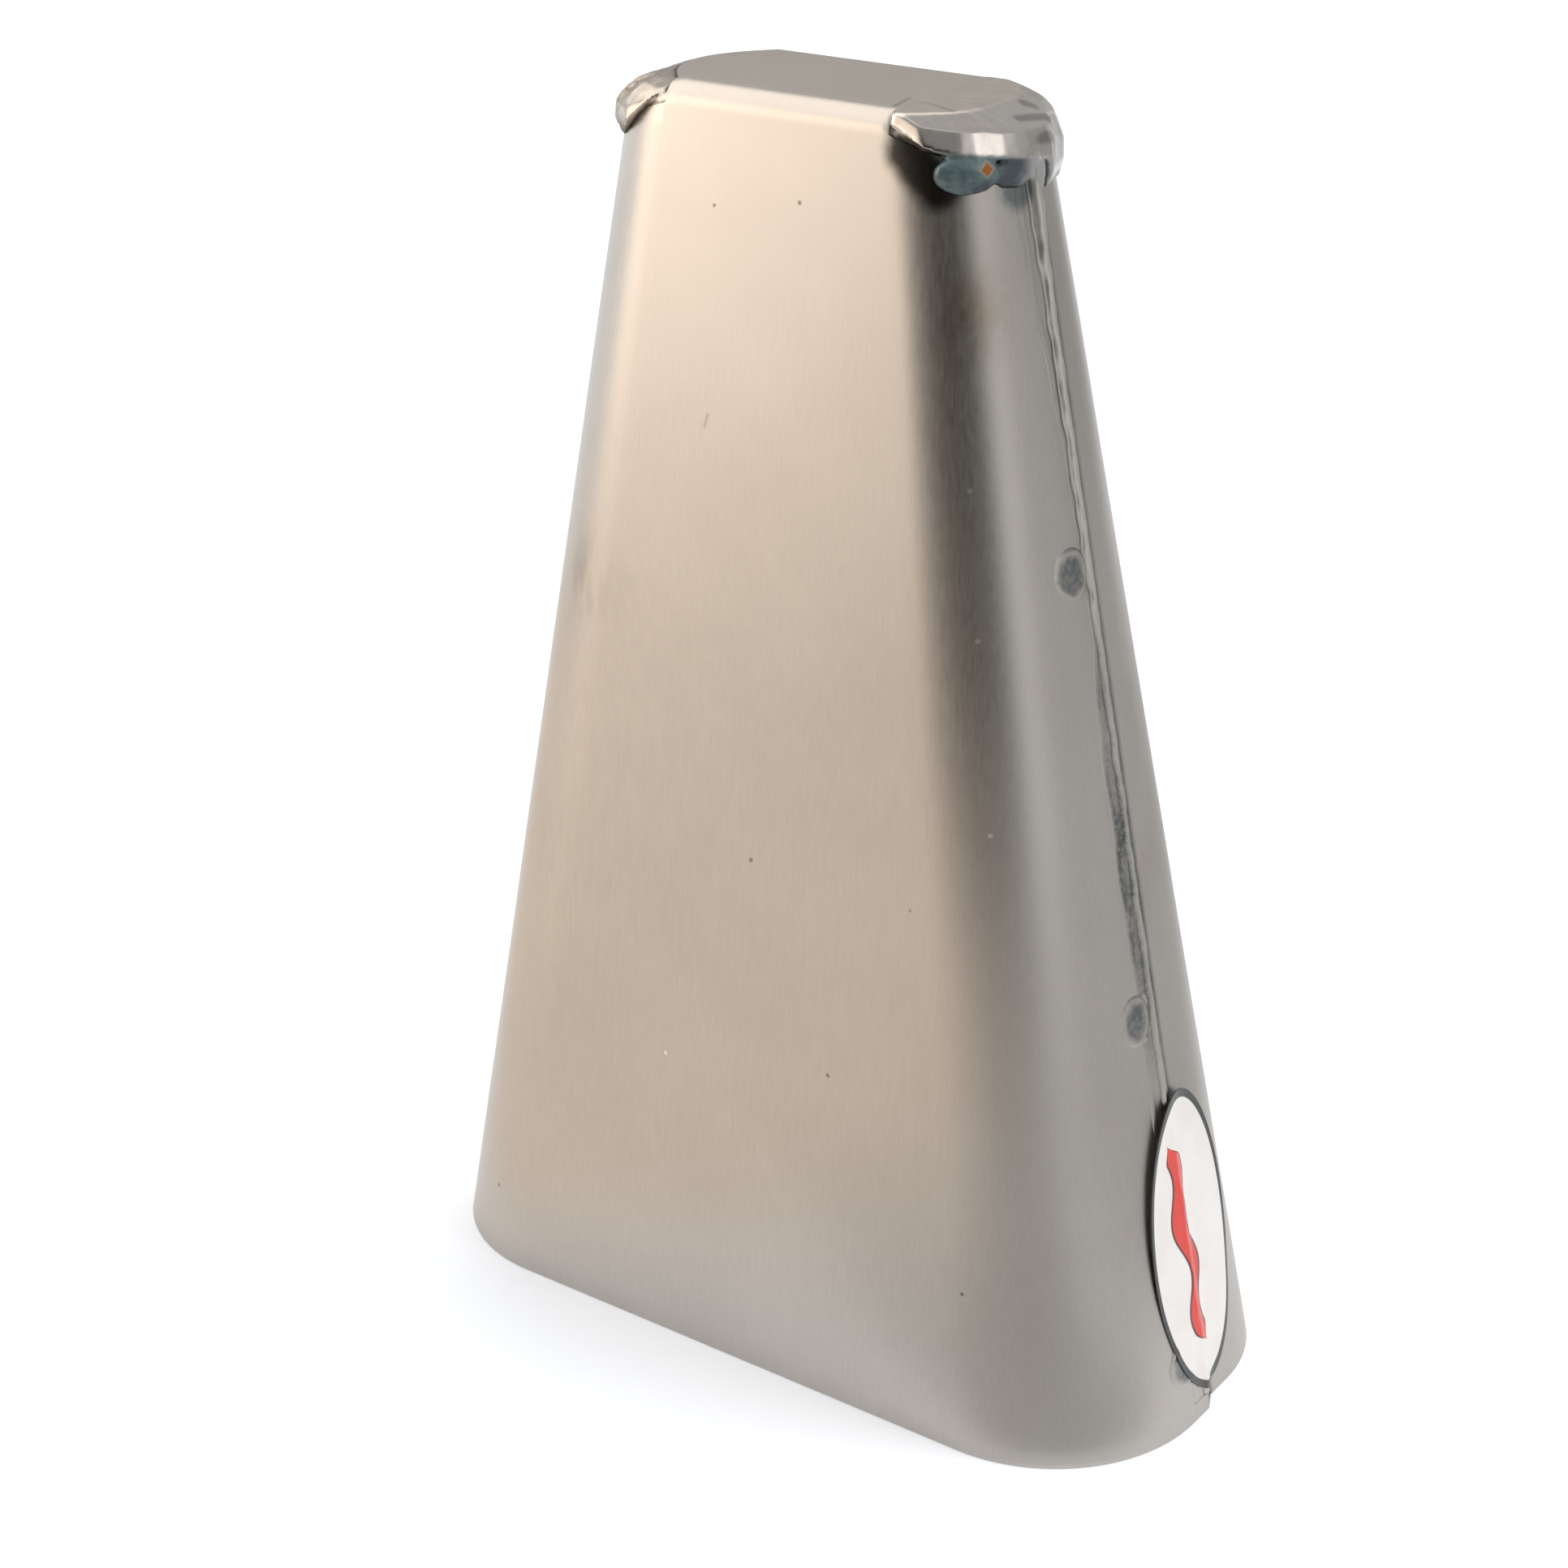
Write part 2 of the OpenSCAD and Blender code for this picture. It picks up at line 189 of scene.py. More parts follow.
def calc(tree, operation, *values, clamp=False):
    return addNode(tree, "Math", dict(enumerate(values)), operation=operation, use_clamp=clamp).outputs[0]


def times(tree, *values):
    product = values[0]
    for value in values[1:]:
        product = calc(tree, "MULTIPLY", product, value)
    return product


def highest(tree, *values):
    top = values[0]
    for value in values[1:]:
        top = calc(tree, "MAXIMUM", top, value)
    return top


def calcVector(tree, operation, *values):
    made = addNode(tree, "VectorMath", dict(enumerate(values)), operation=operation)
    return made.outputs["Value" if operation in ("LENGTH", "DISTANCE", "DOT_PRODUCT") else "Vector"]


def apart(tree, vector):
    return addNode(tree, "SeparateXYZ", {"Vector": vector}).outputs


def readValue(tree, name):
    return addNode(tree, "Attribute", attribute_name=name).outputs["Fac"]


def ramp(tree, value, low, high, start=0.0, end=1.0, soft=True):
    kind = "SMOOTHSTEP" if soft else "LINEAR"
    sockets = {"Value": value, "From Min": low, "From Max": high, "To Min": start, "To Max": end}
    return addNode(tree, "MapRange", sockets, interpolation_type=kind).outputs[0]


def blend(tree, share, first, second, mode="MIX"):
    mix = addNode(tree, "Mix", {0: share, 6: first, 7: second}, data_type="RGBA", blend_type=mode)
    return mix.outputs[2]


def noise(tree, vector, scale, detail=4.0, rough=0.55):
    sockets = {"Vector": vector, "Scale": scale, "Detail": detail, "Roughness": rough}
    return addNode(tree, "TexNoise", sockets).outputs["Fac"]


def stretched(tree, vector, scale):
    return addNode(tree, "Mapping", {"Vector": vector, "Scale": scale}).outputs[0]


def nearPoint(tree, vector, place, reach, squeeze=(1, 1, 1)):    # one at a place in mm, falling to nought
    moved = calcVector(tree, "SUBTRACT", vector, Vector(place) * mm)
    away = calcVector(tree, "LENGTH", calcVector(tree, "MULTIPLY", moved, squeeze))
    return ramp(tree, away, 0.0, reach * mm, 1.0, 0.0)


def nearLine(tree, vector, start, end, reach):    # the same along a line between two places in mm
    first, last = Vector(start) * mm, Vector(end) * mm
    way = last - first
    moved = calcVector(tree, "SUBTRACT", vector, first)
    share = calcVector(tree, "DOT_PRODUCT", moved, way / way.length_squared)
    kept = addNode(tree, "Clamp", {"Value": share}).outputs[0]
    foot = addNode(tree, "VectorMath", {0: way, "Scale": kept}, operation="SCALE").outputs[0]
    return ramp(tree, calcVector(tree, "DISTANCE", moved, foot), 0.0, reach * mm, 1.0, 0.0)


def startGroup(name, inputs, outputs):
    tree = bpy.data.node_groups.new(name, "ShaderNodeTree")
    for socket, kind in inputs.items():
        tree.interface.new_socket(socket, in_out="INPUT", socket_type="NodeSocket" + kind)
    for socket, kind in outputs.items():
        tree.interface.new_socket(socket, in_out="OUTPUT", socket_type="NodeSocket" + kind)
    return tree, tree.nodes.new("NodeGroupInput"), tree.nodes.new("NodeGroupOutput")


def useGroup(tree, group, values):
    return addNode(tree, "Group", values, node_tree=group).outputs


def startMaterial(name, **constants):
    material = bpy.data.materials.new(name)
    material.use_nodes = True
    tree = material.node_tree
    shader = tree.nodes["Principled BSDF"]
    for socket, value in constants.items():
        shader.inputs[socket].default_value = value
    place = addNode(tree, "TexCoord").outputs["Object"]
    return material, tree, shader, place


def surface(tree, shader, tone, rough, height, strength, distance):    # height is a bump, distance in mm
    sockets = {"Height": height, "Strength": strength, "Distance": distance * mm}
    normal = addNode(tree, "Bump", sockets).outputs[0]
    for socket, value in (("Base Color", tone), ("Roughness", rough), ("Normal", normal)):
        tree.links.new(value, shader.inputs[socket])


# brushing, blotches and specks, shared by every steel surface

def makeSteelGrain():
    inputs = {"Place": "Vector", "Along": "Vector", "Speck Size": "Float"}
    outputs = {"Brush": "Float", "Blotch": "Float", "Specks": "Float"}
    tree, given, result = startGroup("steelGrain", inputs, outputs)
    place = given.outputs["Place"]
    brush = noise(tree, calcVector(tree, "MULTIPLY", place, given.outputs["Along"]), 1.0, 5.0, 0.65)
    blotch = noise(tree, place, 38.0, 3.0, 0.5)
    cells = addNode(tree, "TexVoronoi", {"Vector": place, "Scale": 95.0})
    chance = addNode(tree, "SeparateColor", {"Color": cells.outputs["Color"]}).outputs[0]
    dot = calc(tree, "LESS_THAN", cells.outputs["Distance"], given.outputs["Speck Size"])
    rare = calc(tree, "GREATER_THAN", chance, 0.965)
    for socket, value in {"Brush": brush, "Blotch": blotch, "Specks": times(tree, dot, rare)}.items():
        tree.links.new(value, result.inputs[socket])
    return tree


# temper colours of heated steel: straw, brown, violet, blue, then grey scale

def makeTemper():
    outputs = {"Colour": "Color", "Cover": "Float"}
    tree, given, result = startGroup("temperColours", {"Heat": "Float"}, outputs)
    band = addNode(tree, "ValToRGB", {"Fac": given.outputs["Heat"]})
    stops = ((0.0, (0.45, 0.42, 0.38, 1)), (0.3, (0.31, 0.25, 0.19, 1)), (0.5, (0.19, 0.175, 0.17, 1)),
             (0.7, (0.12, 0.155, 0.16, 1)), (1.0, (0.045, 0.05, 0.05, 1)))
    while len(band.color_ramp.elements) < len(stops):
        band.color_ramp.elements.new(0.5)
    for stop, (share, colour) in zip(band.color_ramp.elements, stops):
        stop.position = share
        stop.color = colour
    tree.links.new(band.outputs["Color"], result.inputs["Colour"])
    tree.links.new(ramp(tree, given.outputs["Heat"], 0.02, 0.4), result.inputs["Cover"])
    return tree


steelGrain = makeSteelGrain()
temper = makeTemper()

steelLook = {
    "tone": (0.450, 0.420, 0.390, 1), "pale": (0.470, 0.440, 0.408, 1), "speck": (0.11, 0.09, 0.07, 1),
    "nick": (0.70, 0.66, 0.60, 1), "grimeAndShade": (0.055, 0.057, 0.054, 1),
    "brushAlong": (2400.0, 2400.0, 7.0), "speckSize": 0.03,
    "smoothest": 0.34, "roughest": 0.40, "brushBump": 0.03,
    "brownPatch": ((34.3, -13.9, 184.0), 12.0, (1.1, 1.1, 0.7)), "brownHeat": 0.26,
    "tealPatch": ((36.2, -5.1, 200.6), 5.2, (0.8, 0.9, 1.0)), "scaleHeat": 0.16,
    "sootAndShade": ((23.6, -15.9, 206.6), (28.6, -14.9, 201.8), 6.0), "noseShade": 0.42,
    "sootAndShadeTone": (0.026, 0.023, 0.019, 1), "tealTone": (0.15, 0.18, 0.175, 1),
    "darkSpecks": ((0.5, 90.8), (17.4, 58.0), (45.2, 28.2), (-54.1, 13.2), (5.2, 196.9)),
    "paleNicks": ((-15.8, 51.8), (36.3, 157.9), (39.3, 135.3), (43.6, 105.2)),
    "scratch": ((-11.4, 0, 160.0), (-10.8, 0, 162.0), 0.45), "rub": ((-36.0, 0, 130.0), 12.0),
    "speckReach": 0.60,
    "noseEdge": (((17.6, -6.4, 212.0), (18.7, -11.0, 212.0)), ((18.7, -11.0, 212.0), (20.5, -15.4, 210.6)),
                 ((20.5, -15.4, 210.6), (22.4, -15.8, 207.4))),
}


def satinBase(tree, place):              # plain brushed steel: its tone, its roughness and its brushing
    look = steelLook
    sockets = {"Place": place, "Along": look["brushAlong"], "Speck Size": look["speckSize"]}
    grain = useGroup(tree, steelGrain, sockets)
    tone = blend(tree, ramp(tree, grain["Blotch"], 0.3, 0.7), look["tone"], look["pale"])
    streak = ramp(tree, grain["Brush"], 0.3, 0.7, 0.95, 1.05, soft=False)
    tone = blend(tree, 1.0, tone, streak, "MULTIPLY")
    rough = ramp(tree, grain["Brush"], 0.25, 0.75, look["smoothest"], look["roughest"])
    mottle = noise(tree, place, 420.0, 5.0, 0.6)
    heat = times(tree, nearPoint(tree, place, *look["brownPatch"]), look["brownHeat"])
    tint = useGroup(tree, temper, {"Heat": times(tree, heat, ramp(tree, mottle, 0.25, 0.6, 0.75, 1.1))})
    tone = blend(tree, tint["Cover"], tone, tint["Colour"])
    teal = nearPoint(tree, place, *look["tealPatch"])
    patch = times(tree, teal, ramp(tree, mottle, 0.25, 0.6, 0.7, 1.1))
    tone = blend(tree, ramp(tree, patch, 0.1, 0.8, 0.0, 0.9), tone, look["tealTone"])
    # soot and painted shade: a dark patch on the wall under the weld's nose, where shade falls
    sootAndShade = times(tree, nearLine(tree, place, *look["sootAndShade"]), ramp(tree, mottle, 0.2, 0.7, 0.85, 1.05))
    tone = blend(tree, ramp(tree, sootAndShade, 0.05, 0.75, 0.0, 0.95), tone, look["sootAndShadeTone"])
    return tone, rough, grain


def makeSatinSteel():
    look = steelLook
    material, tree, shader, place = startMaterial("satinSteel", Metallic=1.0)
    deep, up = apart(tree, place)[1:]
    atEnd = ramp(tree, apart(tree, calcVector(tree, "ABSOLUTE", place))[0], 0.030, 0.034)
    tone, rough, grain = satinBase(tree, place)
    mottle = noise(tree, place, 420.0, 5.0, 0.6)
    patchy = ramp(tree, noise(tree, stretched(tree, place, (1, 1, 0.3)), 160.0, 3.0), 0.40, 0.62)

    flank = times(tree, ramp(tree, deep, -0.0085, -0.0045), atEnd)
    scaly = times(tree, ramp(tree, up, 0.060, 0.095), ramp(tree, up, 0.140, 0.115))
    tint = useGroup(tree, temper, {"Heat": times(tree, scaly, flank, patchy, look["scaleHeat"])})
    tone = blend(tree, tint["Cover"], tone, tint["Colour"])

    # grime and painted shade: the rear wall just behind the lap step, and the cut foot of each seam, are
    # darkened where the step's shadow falls
    behindLap = times(tree, ramp(tree, deep, -0.0002, 0.0004), atEnd, ramp(tree, deep, 0.0036, 0.0016))
    foot = highest(tree, *(nearLine(tree, place, (side * 74.4, 0.2, 0), (side * 72.8, 0.2, 8), 1.5)
                           for side in sides.values()))
    behindLap = highest(tree, behindLap, ramp(tree, foot, 0.1, 0.6))
    grimeAndShade = times(tree, behindLap, ramp(tree, mottle, 0.3, 0.65, 0.70, 1.0))
    tone = blend(tree, grimeAndShade, tone, look["grimeAndShade"])
    # painted shade: thin dark lines along the raised edge of the weld's nose on the crown
    noseEdge = highest(tree, *(nearLine(tree, place, start, end, 0.75) for start, end in look["noseEdge"]))
    tone = blend(tree, ramp(tree, noseEdge, 0.05, 0.95, 0.0, look["noseShade"]), tone, look["grimeAndShade"])

    front = ramp(tree, deep, 0.002, -0.002)
    flat, reach = (1, 0, 1), look["speckReach"]
    specks = highest(tree, *(nearPoint(tree, place, (x, 0, z), reach, flat) for x, z in look["darkSpecks"]))
    nicks = highest(tree, *(nearPoint(tree, place, (x, 0, z), reach, flat) for x, z in look["paleNicks"]))
    scratch = times(tree, nearLine(tree, stretched(tree, place, flat), *look["scratch"]), 0.35)
    dull = times(tree, nearPoint(tree, place, *look["rub"], flat), patchy, 0.30)
    marks = highest(tree, ramp(tree, specks, 0.2, 0.5, 0.0, 0.65), scratch, dull)
    tone = blend(tree, times(tree, front, marks), tone, look["speck"])
    tone = blend(tree, times(tree, front, ramp(tree, nicks, 0.2, 0.5)), tone, look["nick"])
    tone = blend(tree, times(tree, grain["Specks"], 0.35), tone, look["speck"])
    rough = calc(tree, "ADD", rough, times(tree, highest(tree, grain["Specks"], grimeAndShade), 0.2))
    surface(tree, shader, tone, rough, grain["Brush"], look["brushBump"], 0.05)
    return material


fillerLook = {
    "bright": (0.50, 0.470, 0.440, 1), "smear": (0.15, 0.145, 0.14, 1), "sootAndShade": (0.020, 0.017, 0.014, 1),
    "slate": (0.058, 0.070, 0.082, 1), "teal": (0.11, 0.155, 0.155, 1), "scorch": (0.055, 0.045, 0.035, 1),
    "rust": (0.27, 0.088, 0.012, 1), "rustRim": (0.60, 0.46, 0.32, 1), "rustAt": (33.8, -10.6, 204.6),
    "rustWide": 1.1, "rustTall": 1.05, "rustAlong": (0.54, 0.84, 0), "smearShade": 0.62, "dashShade": 0.46,
    "dash": ((20.9, -7.2, 212.0), (27.8, -9.9, 212.0)),
    "smears": (((33.5, -1.6, 209.7), (34.7, 4.5, 209.0)), ((39.0, -6.7, 208.3), (36.5, 2.9, 206.9)),
               ((31.4, 3.3, 211.0), (32.4, 4.5, 210.4))),
    "head": (0.34, 0.335, 0.32, 1),
}


def makeWeldFiller():
    look = fillerLook
    material, tree, shader, place = startMaterial("weldFiller")
    across, deep = apart(tree, place)[:2]
    toe, ground = readValue(tree, "toe"), readValue(tree, "ground")
    grain = useGroup(tree, steelGrain, {"Place": place, "Along": (260.0, 900.0, 260.0), "Speck Size": 0.05})
    cloud = noise(tree, place, 240.0, 4.0)
    streak = ramp(tree, grain["Brush"], 0.3, 0.7, 0.94, 1.05, soft=False)
    facing = apart(tree, addNode(tree, "TexCoord").outputs["Normal"])[2]
    bright = blend(tree, ramp(tree, facing, 0.93, 0.985), look["bright"], steelLook["tone"])
    bright = blend(tree, 1.0, bright, streak, "MULTIPLY")
    smeared = highest(tree, *(nearLine(tree, place, first, last, 1.7) for first, last in look["smears"]))
    smeared = ramp(tree, times(tree, smeared, ramp(tree, cloud, 0.2, 0.6, 0.6, 1.2)), 0.10, 0.75)
    dash = ramp(tree, nearLine(tree, place, *look["dash"], 1.0), 0.10, 0.90)
    dash = times(tree, dash, ramp(tree, cloud, 0.35, 0.55, 0.3, 1.0))
    worn = highest(tree, times(tree, smeared, look["smearShade"]), times(tree, dash, look["dashShade"]))
    bright = blend(tree, worn, bright, look["smear"])

    toEnd = ramp(tree, deep, -0.0115, -0.0065, 0.0, 0.22)
    tealed = ramp(tree, calc(tree, "SUBTRACT", cloud, toEnd), 0.32, 0.54)
    low = blend(tree, tealed, look["slate"], look["teal"])
    low = blend(tree, ramp(tree, across, 0.0290, 0.0265), low, look["scorch"])
    headed = calc(tree, "MULTIPLY_ADD", cloud, 0.003, deep)
    low = blend(tree, ramp(tree, headed, -0.0042, -0.0008), low, look["head"])
    tone = blend(tree, ground, low, bright)
    # soot and painted shade along the toe, where the weld meets the sheet
    tone = blend(tree, times(tree, toe, ramp(tree, cloud, 0.25, 0.6, 0.7, 1.0)), tone, look["sootAndShade"])

    fromRust = calcVector(tree, "SUBTRACT", place, Vector(look["rustAt"]) * mm)
    along = calc(tree, "ABSOLUTE", calcVector(tree, "DOT_PRODUCT", fromRust, look["rustAlong"]))
    rise = calc(tree, "ABSOLUTE", apart(tree, fromRust)[2])
    diamond = calc(tree, "ADD", calc(tree, "DIVIDE", along, look["rustWide"] * mm),
                   calc(tree, "DIVIDE", rise, look["rustTall"] * mm))
    tone = blend(tree, ramp(tree, diamond, 1.65, 0.95, 0.0, 0.30), tone, look["rustRim"])
    tone = blend(tree, ramp(tree, diamond, 1.30, 0.60), tone, look["rust"])
    rough = ramp(tree, grain["Brush"], 0.2, 0.8, 0.18, 0.30)
    rough = calc(tree, "ADD", rough, ramp(tree, facing, 0.86, 0.97, 0.0, 0.14))
    rough = calc(tree, "MULTIPLY_ADD", calc(tree, "SUBTRACT", 1.0, ground), 0.12, rough)
    tree.links.new(calc(tree, "MULTIPLY_ADD", ground, 0.6, 0.4), shader.inputs["Metallic"])
    fine = noise(tree, place, 900.0, 4.0, 0.6)
    surface(tree, shader, tone, rough, calc(tree, "ADD", grain["Brush"], fine), 0.10, 0.05)
    return material


crustLook = {
    "tan": (0.45, 0.40, 0.345, 1), "grey": (0.40, 0.375, 0.35, 1), "pit": (0.17, 0.125, 0.09, 1),
    "groove": (0.040, 0.031, 0.022, 1), "under": (0.16, 0.15, 0.13, 1),
}


def makeCrustyFiller():
    look = crustLook
    material, tree, shader, place = startMaterial("crustyFiller", Metallic=1.0)
    toe, ground = readValue(tree, "toe"), readValue(tree, "ground")
    cloud = noise(tree, place, 260.0, 4.0)
    tone = blend(tree, ramp(tree, cloud, 0.35, 0.65), look["tan"], look["grey"])
    tone = blend(tree, ramp(tree, apart(tree, place)[2], 0.2055, 0.2030), tone, look["under"])
    pits = ramp(tree, noise(tree, place, 1150.0, 5.0, 0.65), 0.46, 0.64)
    crust = calc(tree, "SUBTRACT", 1.0, ground)
    tone = blend(tree, times(tree, crust, pits), tone, look["pit"])
    tone = blend(tree, readValue(tree, "plug"), tone, steelLook["tone"])
    # painted shade in the groove along the toe and along the plate's end
    tone = blend(tree, times(tree, toe, ramp(tree, cloud, 0.2, 0.6, 0.75, 1.0)), tone, look["groove"])
    rough = calc(tree, "MULTIPLY_ADD", crust, 0.18, ramp(tree, cloud, 0.3, 0.7, 0.20, 0.32))
    surface(tree, shader, tone, rough, noise(tree, place, 900.0, 4.0, 0.6), 0.25, 0.10)
    return material


scaleLook = {
    "ridge": (0.54, 0.515, 0.48, 1), "dark": (0.105, 0.115, 0.11, 1), "mid": (0.24, 0.245, 0.235, 1),
    "line": (0.060, 0.062, 0.060, 1), "gap": (0.018, 0.018, 0.018, 1),
}


def makeWeldScale():
    look = scaleLook
    material, tree, shader, place = startMaterial("weldScale", Metallic=1.0)
    tone, rough = satinBase(tree, place)[:2]
    ridge, line = readValue(tree, "ridge"), readValue(tree, "line")
    scaly, gap = readValue(tree, "scaly"), readValue(tree, "gap")
    patchy = ramp(tree, noise(tree, stretched(tree, place, (1, 1, 0.35)), 210.0, 3.0), 0.34, 0.60)
    crumbs = noise(tree, place, 1000.0, 4.0, 0.6)
    # painted highlight: the ridge's crest is given a lighter tone
    tone = blend(tree, times(tree, ridge, 0.65), tone, look["ridge"])
    dull = blend(tree, ramp(tree, crumbs, 0.42, 0.60), look["dark"], look["mid"])
    covered = times(tree, scaly, calc(tree, "MULTIPLY_ADD", patchy, 0.6, 0.35))
    covered = times(tree, covered, ramp(tree, ridge, 0.1, 0.9, 1.0, 0.25))
    tone = blend(tree, covered, tone, dull)
    broken = ramp(tree, noise(tree, stretched(tree, place, (1, 1, 0.2)), 420.0, 3.0), 0.3, 0.6, 0.45, 1.0)
    # painted shade along the valley left of the ridge and at the bead's left edge
    tone = blend(tree, times(tree, line, broken), tone, look["line"])
    # painted shadow in the gap at the lap's step
    tone = blend(tree, gap, tone, look["gap"])
    rough = calc(tree, "MULTIPLY_ADD", covered, 0.08, rough)
    surface(tree, shader, tone, rough, times(tree, crumbs, calc(tree, "ADD", covered, ridge)), 0.25, 0.10)
    return material


spotLook = {
    "ring": (0.50, 0.475, 0.445, 1), "dish": (0.125, 0.14, 0.148, 1), "clean": (0.27, 0.265, 0.255, 1),
}


def makeSpotSteel():
    look = spotLook
    material, tree, shader, place = startMaterial("spotSteel", Metallic=1.0)
    tone = satinBase(tree, place)[0]
    out, corner = readValue(tree, "ringOut"), readValue(tree, "corner")
    crumbs = noise(tree, place, 900.0, 4.0)
    cloud = noise(tree, place, 300.0, 3.0)
    wobbled = calc(tree, "MULTIPLY_ADD", calc(tree, "SUBTRACT", cloud, 0.5), 0.6, out)
    # painted highlight: the raised ring is lighter on its lower front side only
    onRing = times(tree, ramp(tree, wobbled, 0.66, 0.80), ramp(tree, out, 1.0, 0.90),
                   ramp(tree, corner, 0.5, -0.4, 0.1, 1.0), 0.5)
    tone = blend(tree, onRing, tone, look["ring"])
    dish = ramp(tree, wobbled, 0.45, 0.88, 1.0, 0.0)
    stain = calc(tree, "MULTIPLY_ADD", corner, 0.25, ramp(tree, crumbs, 0.35, 0.65, 0.30, 0.95))
    tone = blend(tree, times(tree, dish, 0.92), tone, blend(tree, stain, look["clean"], look["dish"]))
    edge = times(tree, ramp(tree, wobbled, 0.78, 0.94), ramp(tree, corner, -0.2, 0.8, 0.10, 0.60))
    tone = blend(tree, edge, tone, look["dish"])
    surface(tree, shader, tone, ramp(tree, crumbs, 0.3, 0.7, 0.30, 0.44), crumbs, 0.15, 0.08)
    return material


labelLook = {
    "paper": (0.87, 0.83, 0.79, 1), "aged": (0.84, 0.78, 0.73, 1), "border": (0.050, 0.052, 0.050, 1),
    "print": (0.74, 0.055, 0.04, 1), "shade": (0.16, 0.03, 0.03, 1),
    "borderFrom": 0.945, "waveHalf": 2.0, "waveHigh": 1.3, "waveLong": 17.0, "waveReach": 19.0,
    "waveAside": 2.0, "waveLean": 0.10,
}


def makeLabelFilm(centre, halfWide, halfTall):
    look = labelLook
    material, tree, shader, place = startMaterial("labelFilm", **{"IOR": 1.5, "Coat Weight": 0.2})
    deep, high = apart(tree, place)[1:]
    across, up = calc(tree, "SUBTRACT", deep, centre[0] * mm), calc(tree, "SUBTRACT", high, centre[1] * mm)
    first = calc(tree, "POWER", calc(tree, "DIVIDE", across, halfWide * mm), 2.0)
    second = calc(tree, "POWER", calc(tree, "DIVIDE", up, halfTall * mm), 2.0)
    out = calc(tree, "SQRT", calc(tree, "ADD", first, second))
    tone = blend(tree, ramp(tree, noise(tree, place, 160.0), 0.3, 0.7), look["paper"], look["aged"])
    swing = calc(tree, "SINE", times(tree, up, 2 * pi / look["waveLong"] / mm))
    leaning = calc(tree, "MULTIPLY_ADD", up, look["waveLean"], across)
    leaning = calc(tree, "ADD", leaning, look["waveAside"] * mm)
    aside = calc(tree, "ABSOLUTE", calc(tree, "MULTIPLY_ADD", swing, look["waveHigh"] * mm, leaning))
    ended = ramp(tree, calc(tree, "ABSOLUTE", up), look["waveReach"] * mm, look["waveReach"] * 0.8 * mm)
    aside = calc(tree, "DIVIDE", aside, calc(tree, "MULTIPLY_ADD", ended, look["waveHalf"] * mm, 1e-6))
    tone = blend(tree, ramp(tree, aside, 1.32, 1.22), tone, look["shade"])
    tone = blend(tree, ramp(tree, aside, 1.06, 0.96), tone, look["print"])
    tone = blend(tree, ramp(tree, out, look["borderFrom"] - 0.008, look["borderFrom"]), tone, look["border"])
    fibre = noise(tree, place, 1400.0, 3.0)
    surface(tree, shader, tone, ramp(tree, fibre, 0.3, 0.7, 0.34, 0.46), fibre, 0.04, 0.05)
    return material


# camera, floor, cards and lamps

shot = {
    "lens": 70.93, "azimuth": 35.721, "elevation": 23.427, "away": 510.67, "aimHigh": 106.0, "roll": -0.582,
    "frame": 1932, "axisAt": (1038.23, 885.73),
}


def aimedFrom(azimuth, elevation):
    turn, rise = radians(azimuth), radians(elevation)
    return Vector((sin(turn) * cos(rise), -cos(turn) * cos(rise), sin(rise)))


def makeCamera():
    data = bpy.data.cameras.new("shotCamera")
    camera = bpy.data.objects.new("shotCamera", data)
    bpy.context.scene.collection.objects.link(camera)
    back = aimedFrom(shot["azimuth"], shot["elevation"])
    camera.location = Vector((0, 0, shot["aimHigh"] * mm)) + back * shot["away"] * mm
    camera.rotation_mode = "QUATERNION"
    level = (-back).to_track_quat("-Z", "Y")
    camera.rotation_quaternion = level @ Quaternion((0, 0, 1), radians(shot["roll"]))
    data.lens = shot["lens"]
    data.sensor_width = 36.0
    middle = shot["frame"] / 2
    data.shift_x = (middle - shot["axisAt"][0]) / shot["frame"]
    data.shift_y = (shot["axisAt"][1] - middle) / shot["frame"]
    data.clip_start = 0.01
    bpy.context.scene.camera = camera


def seenRays(tree):       # one on rays that show the background: seen, mirrored or passed on
    path = addNode(tree, "LightPath").outputs
    return highest(tree, path["Is Camera Ray"], path["Is Glossy Ray"], path["Is Transmission Ray"])


studio = {
    "floorTone": (0.80, 0.81, 0.83, 1), "floorGlow": 0.30, "skyTone": (0.93, 0.96, 1.0, 1), "skyLevel": 0.55,
    "cardLift": 0.3, "farFrom": (0.8, 2.4), "farGlow": 0.9,
}
plainGrey, warmWhite, crownWhite = (1, 1, 1, 1), (1.0, 0.875, 0.75, 1), (1.0, 0.97, 0.95, 1)
cards = {    # azimuth, distance, width, lower and upper edge in mm; level, tone, fades left, right, ends
    "flag": (9.0, 330.0, 880.0, 0.0, 400.0, 0.015, plainGrey, (0.58, 0.13, 0.17)),
    "brow": (18.0, 340.0, 700.0, 350.0, 700.0, 0.36, plainGrey, (0.15, 0.15, 0.12)),
    "frontGlow": (-40.0, 1000.0, 1000.0, 0.0, 760.0, 3.5, warmWhite, (0.12, 0.12, 0.08)),
    "sideGlow": (84.0, 700.0, 260.0, 440.0, 720.0, 2.3, crownWhite, (0.05, 0.05, 0.05)),
    "sideGrey": (105.0, 520.0, 640.0, 0.0, 430.0, 0.64, plainGrey, (0.15, 0.15, 0.15)),
    "backGrey": (150.0, 520.0, 640.0, 0.0, 500.0, 0.52, plainGrey, (0.15, 0.15, 0.15)),
    "crownGrey": (-140.0, 800.0, 900.0, 100.0, 800.0, 0.46, crownWhite, (0.10, 0.10, 0.10)),
}
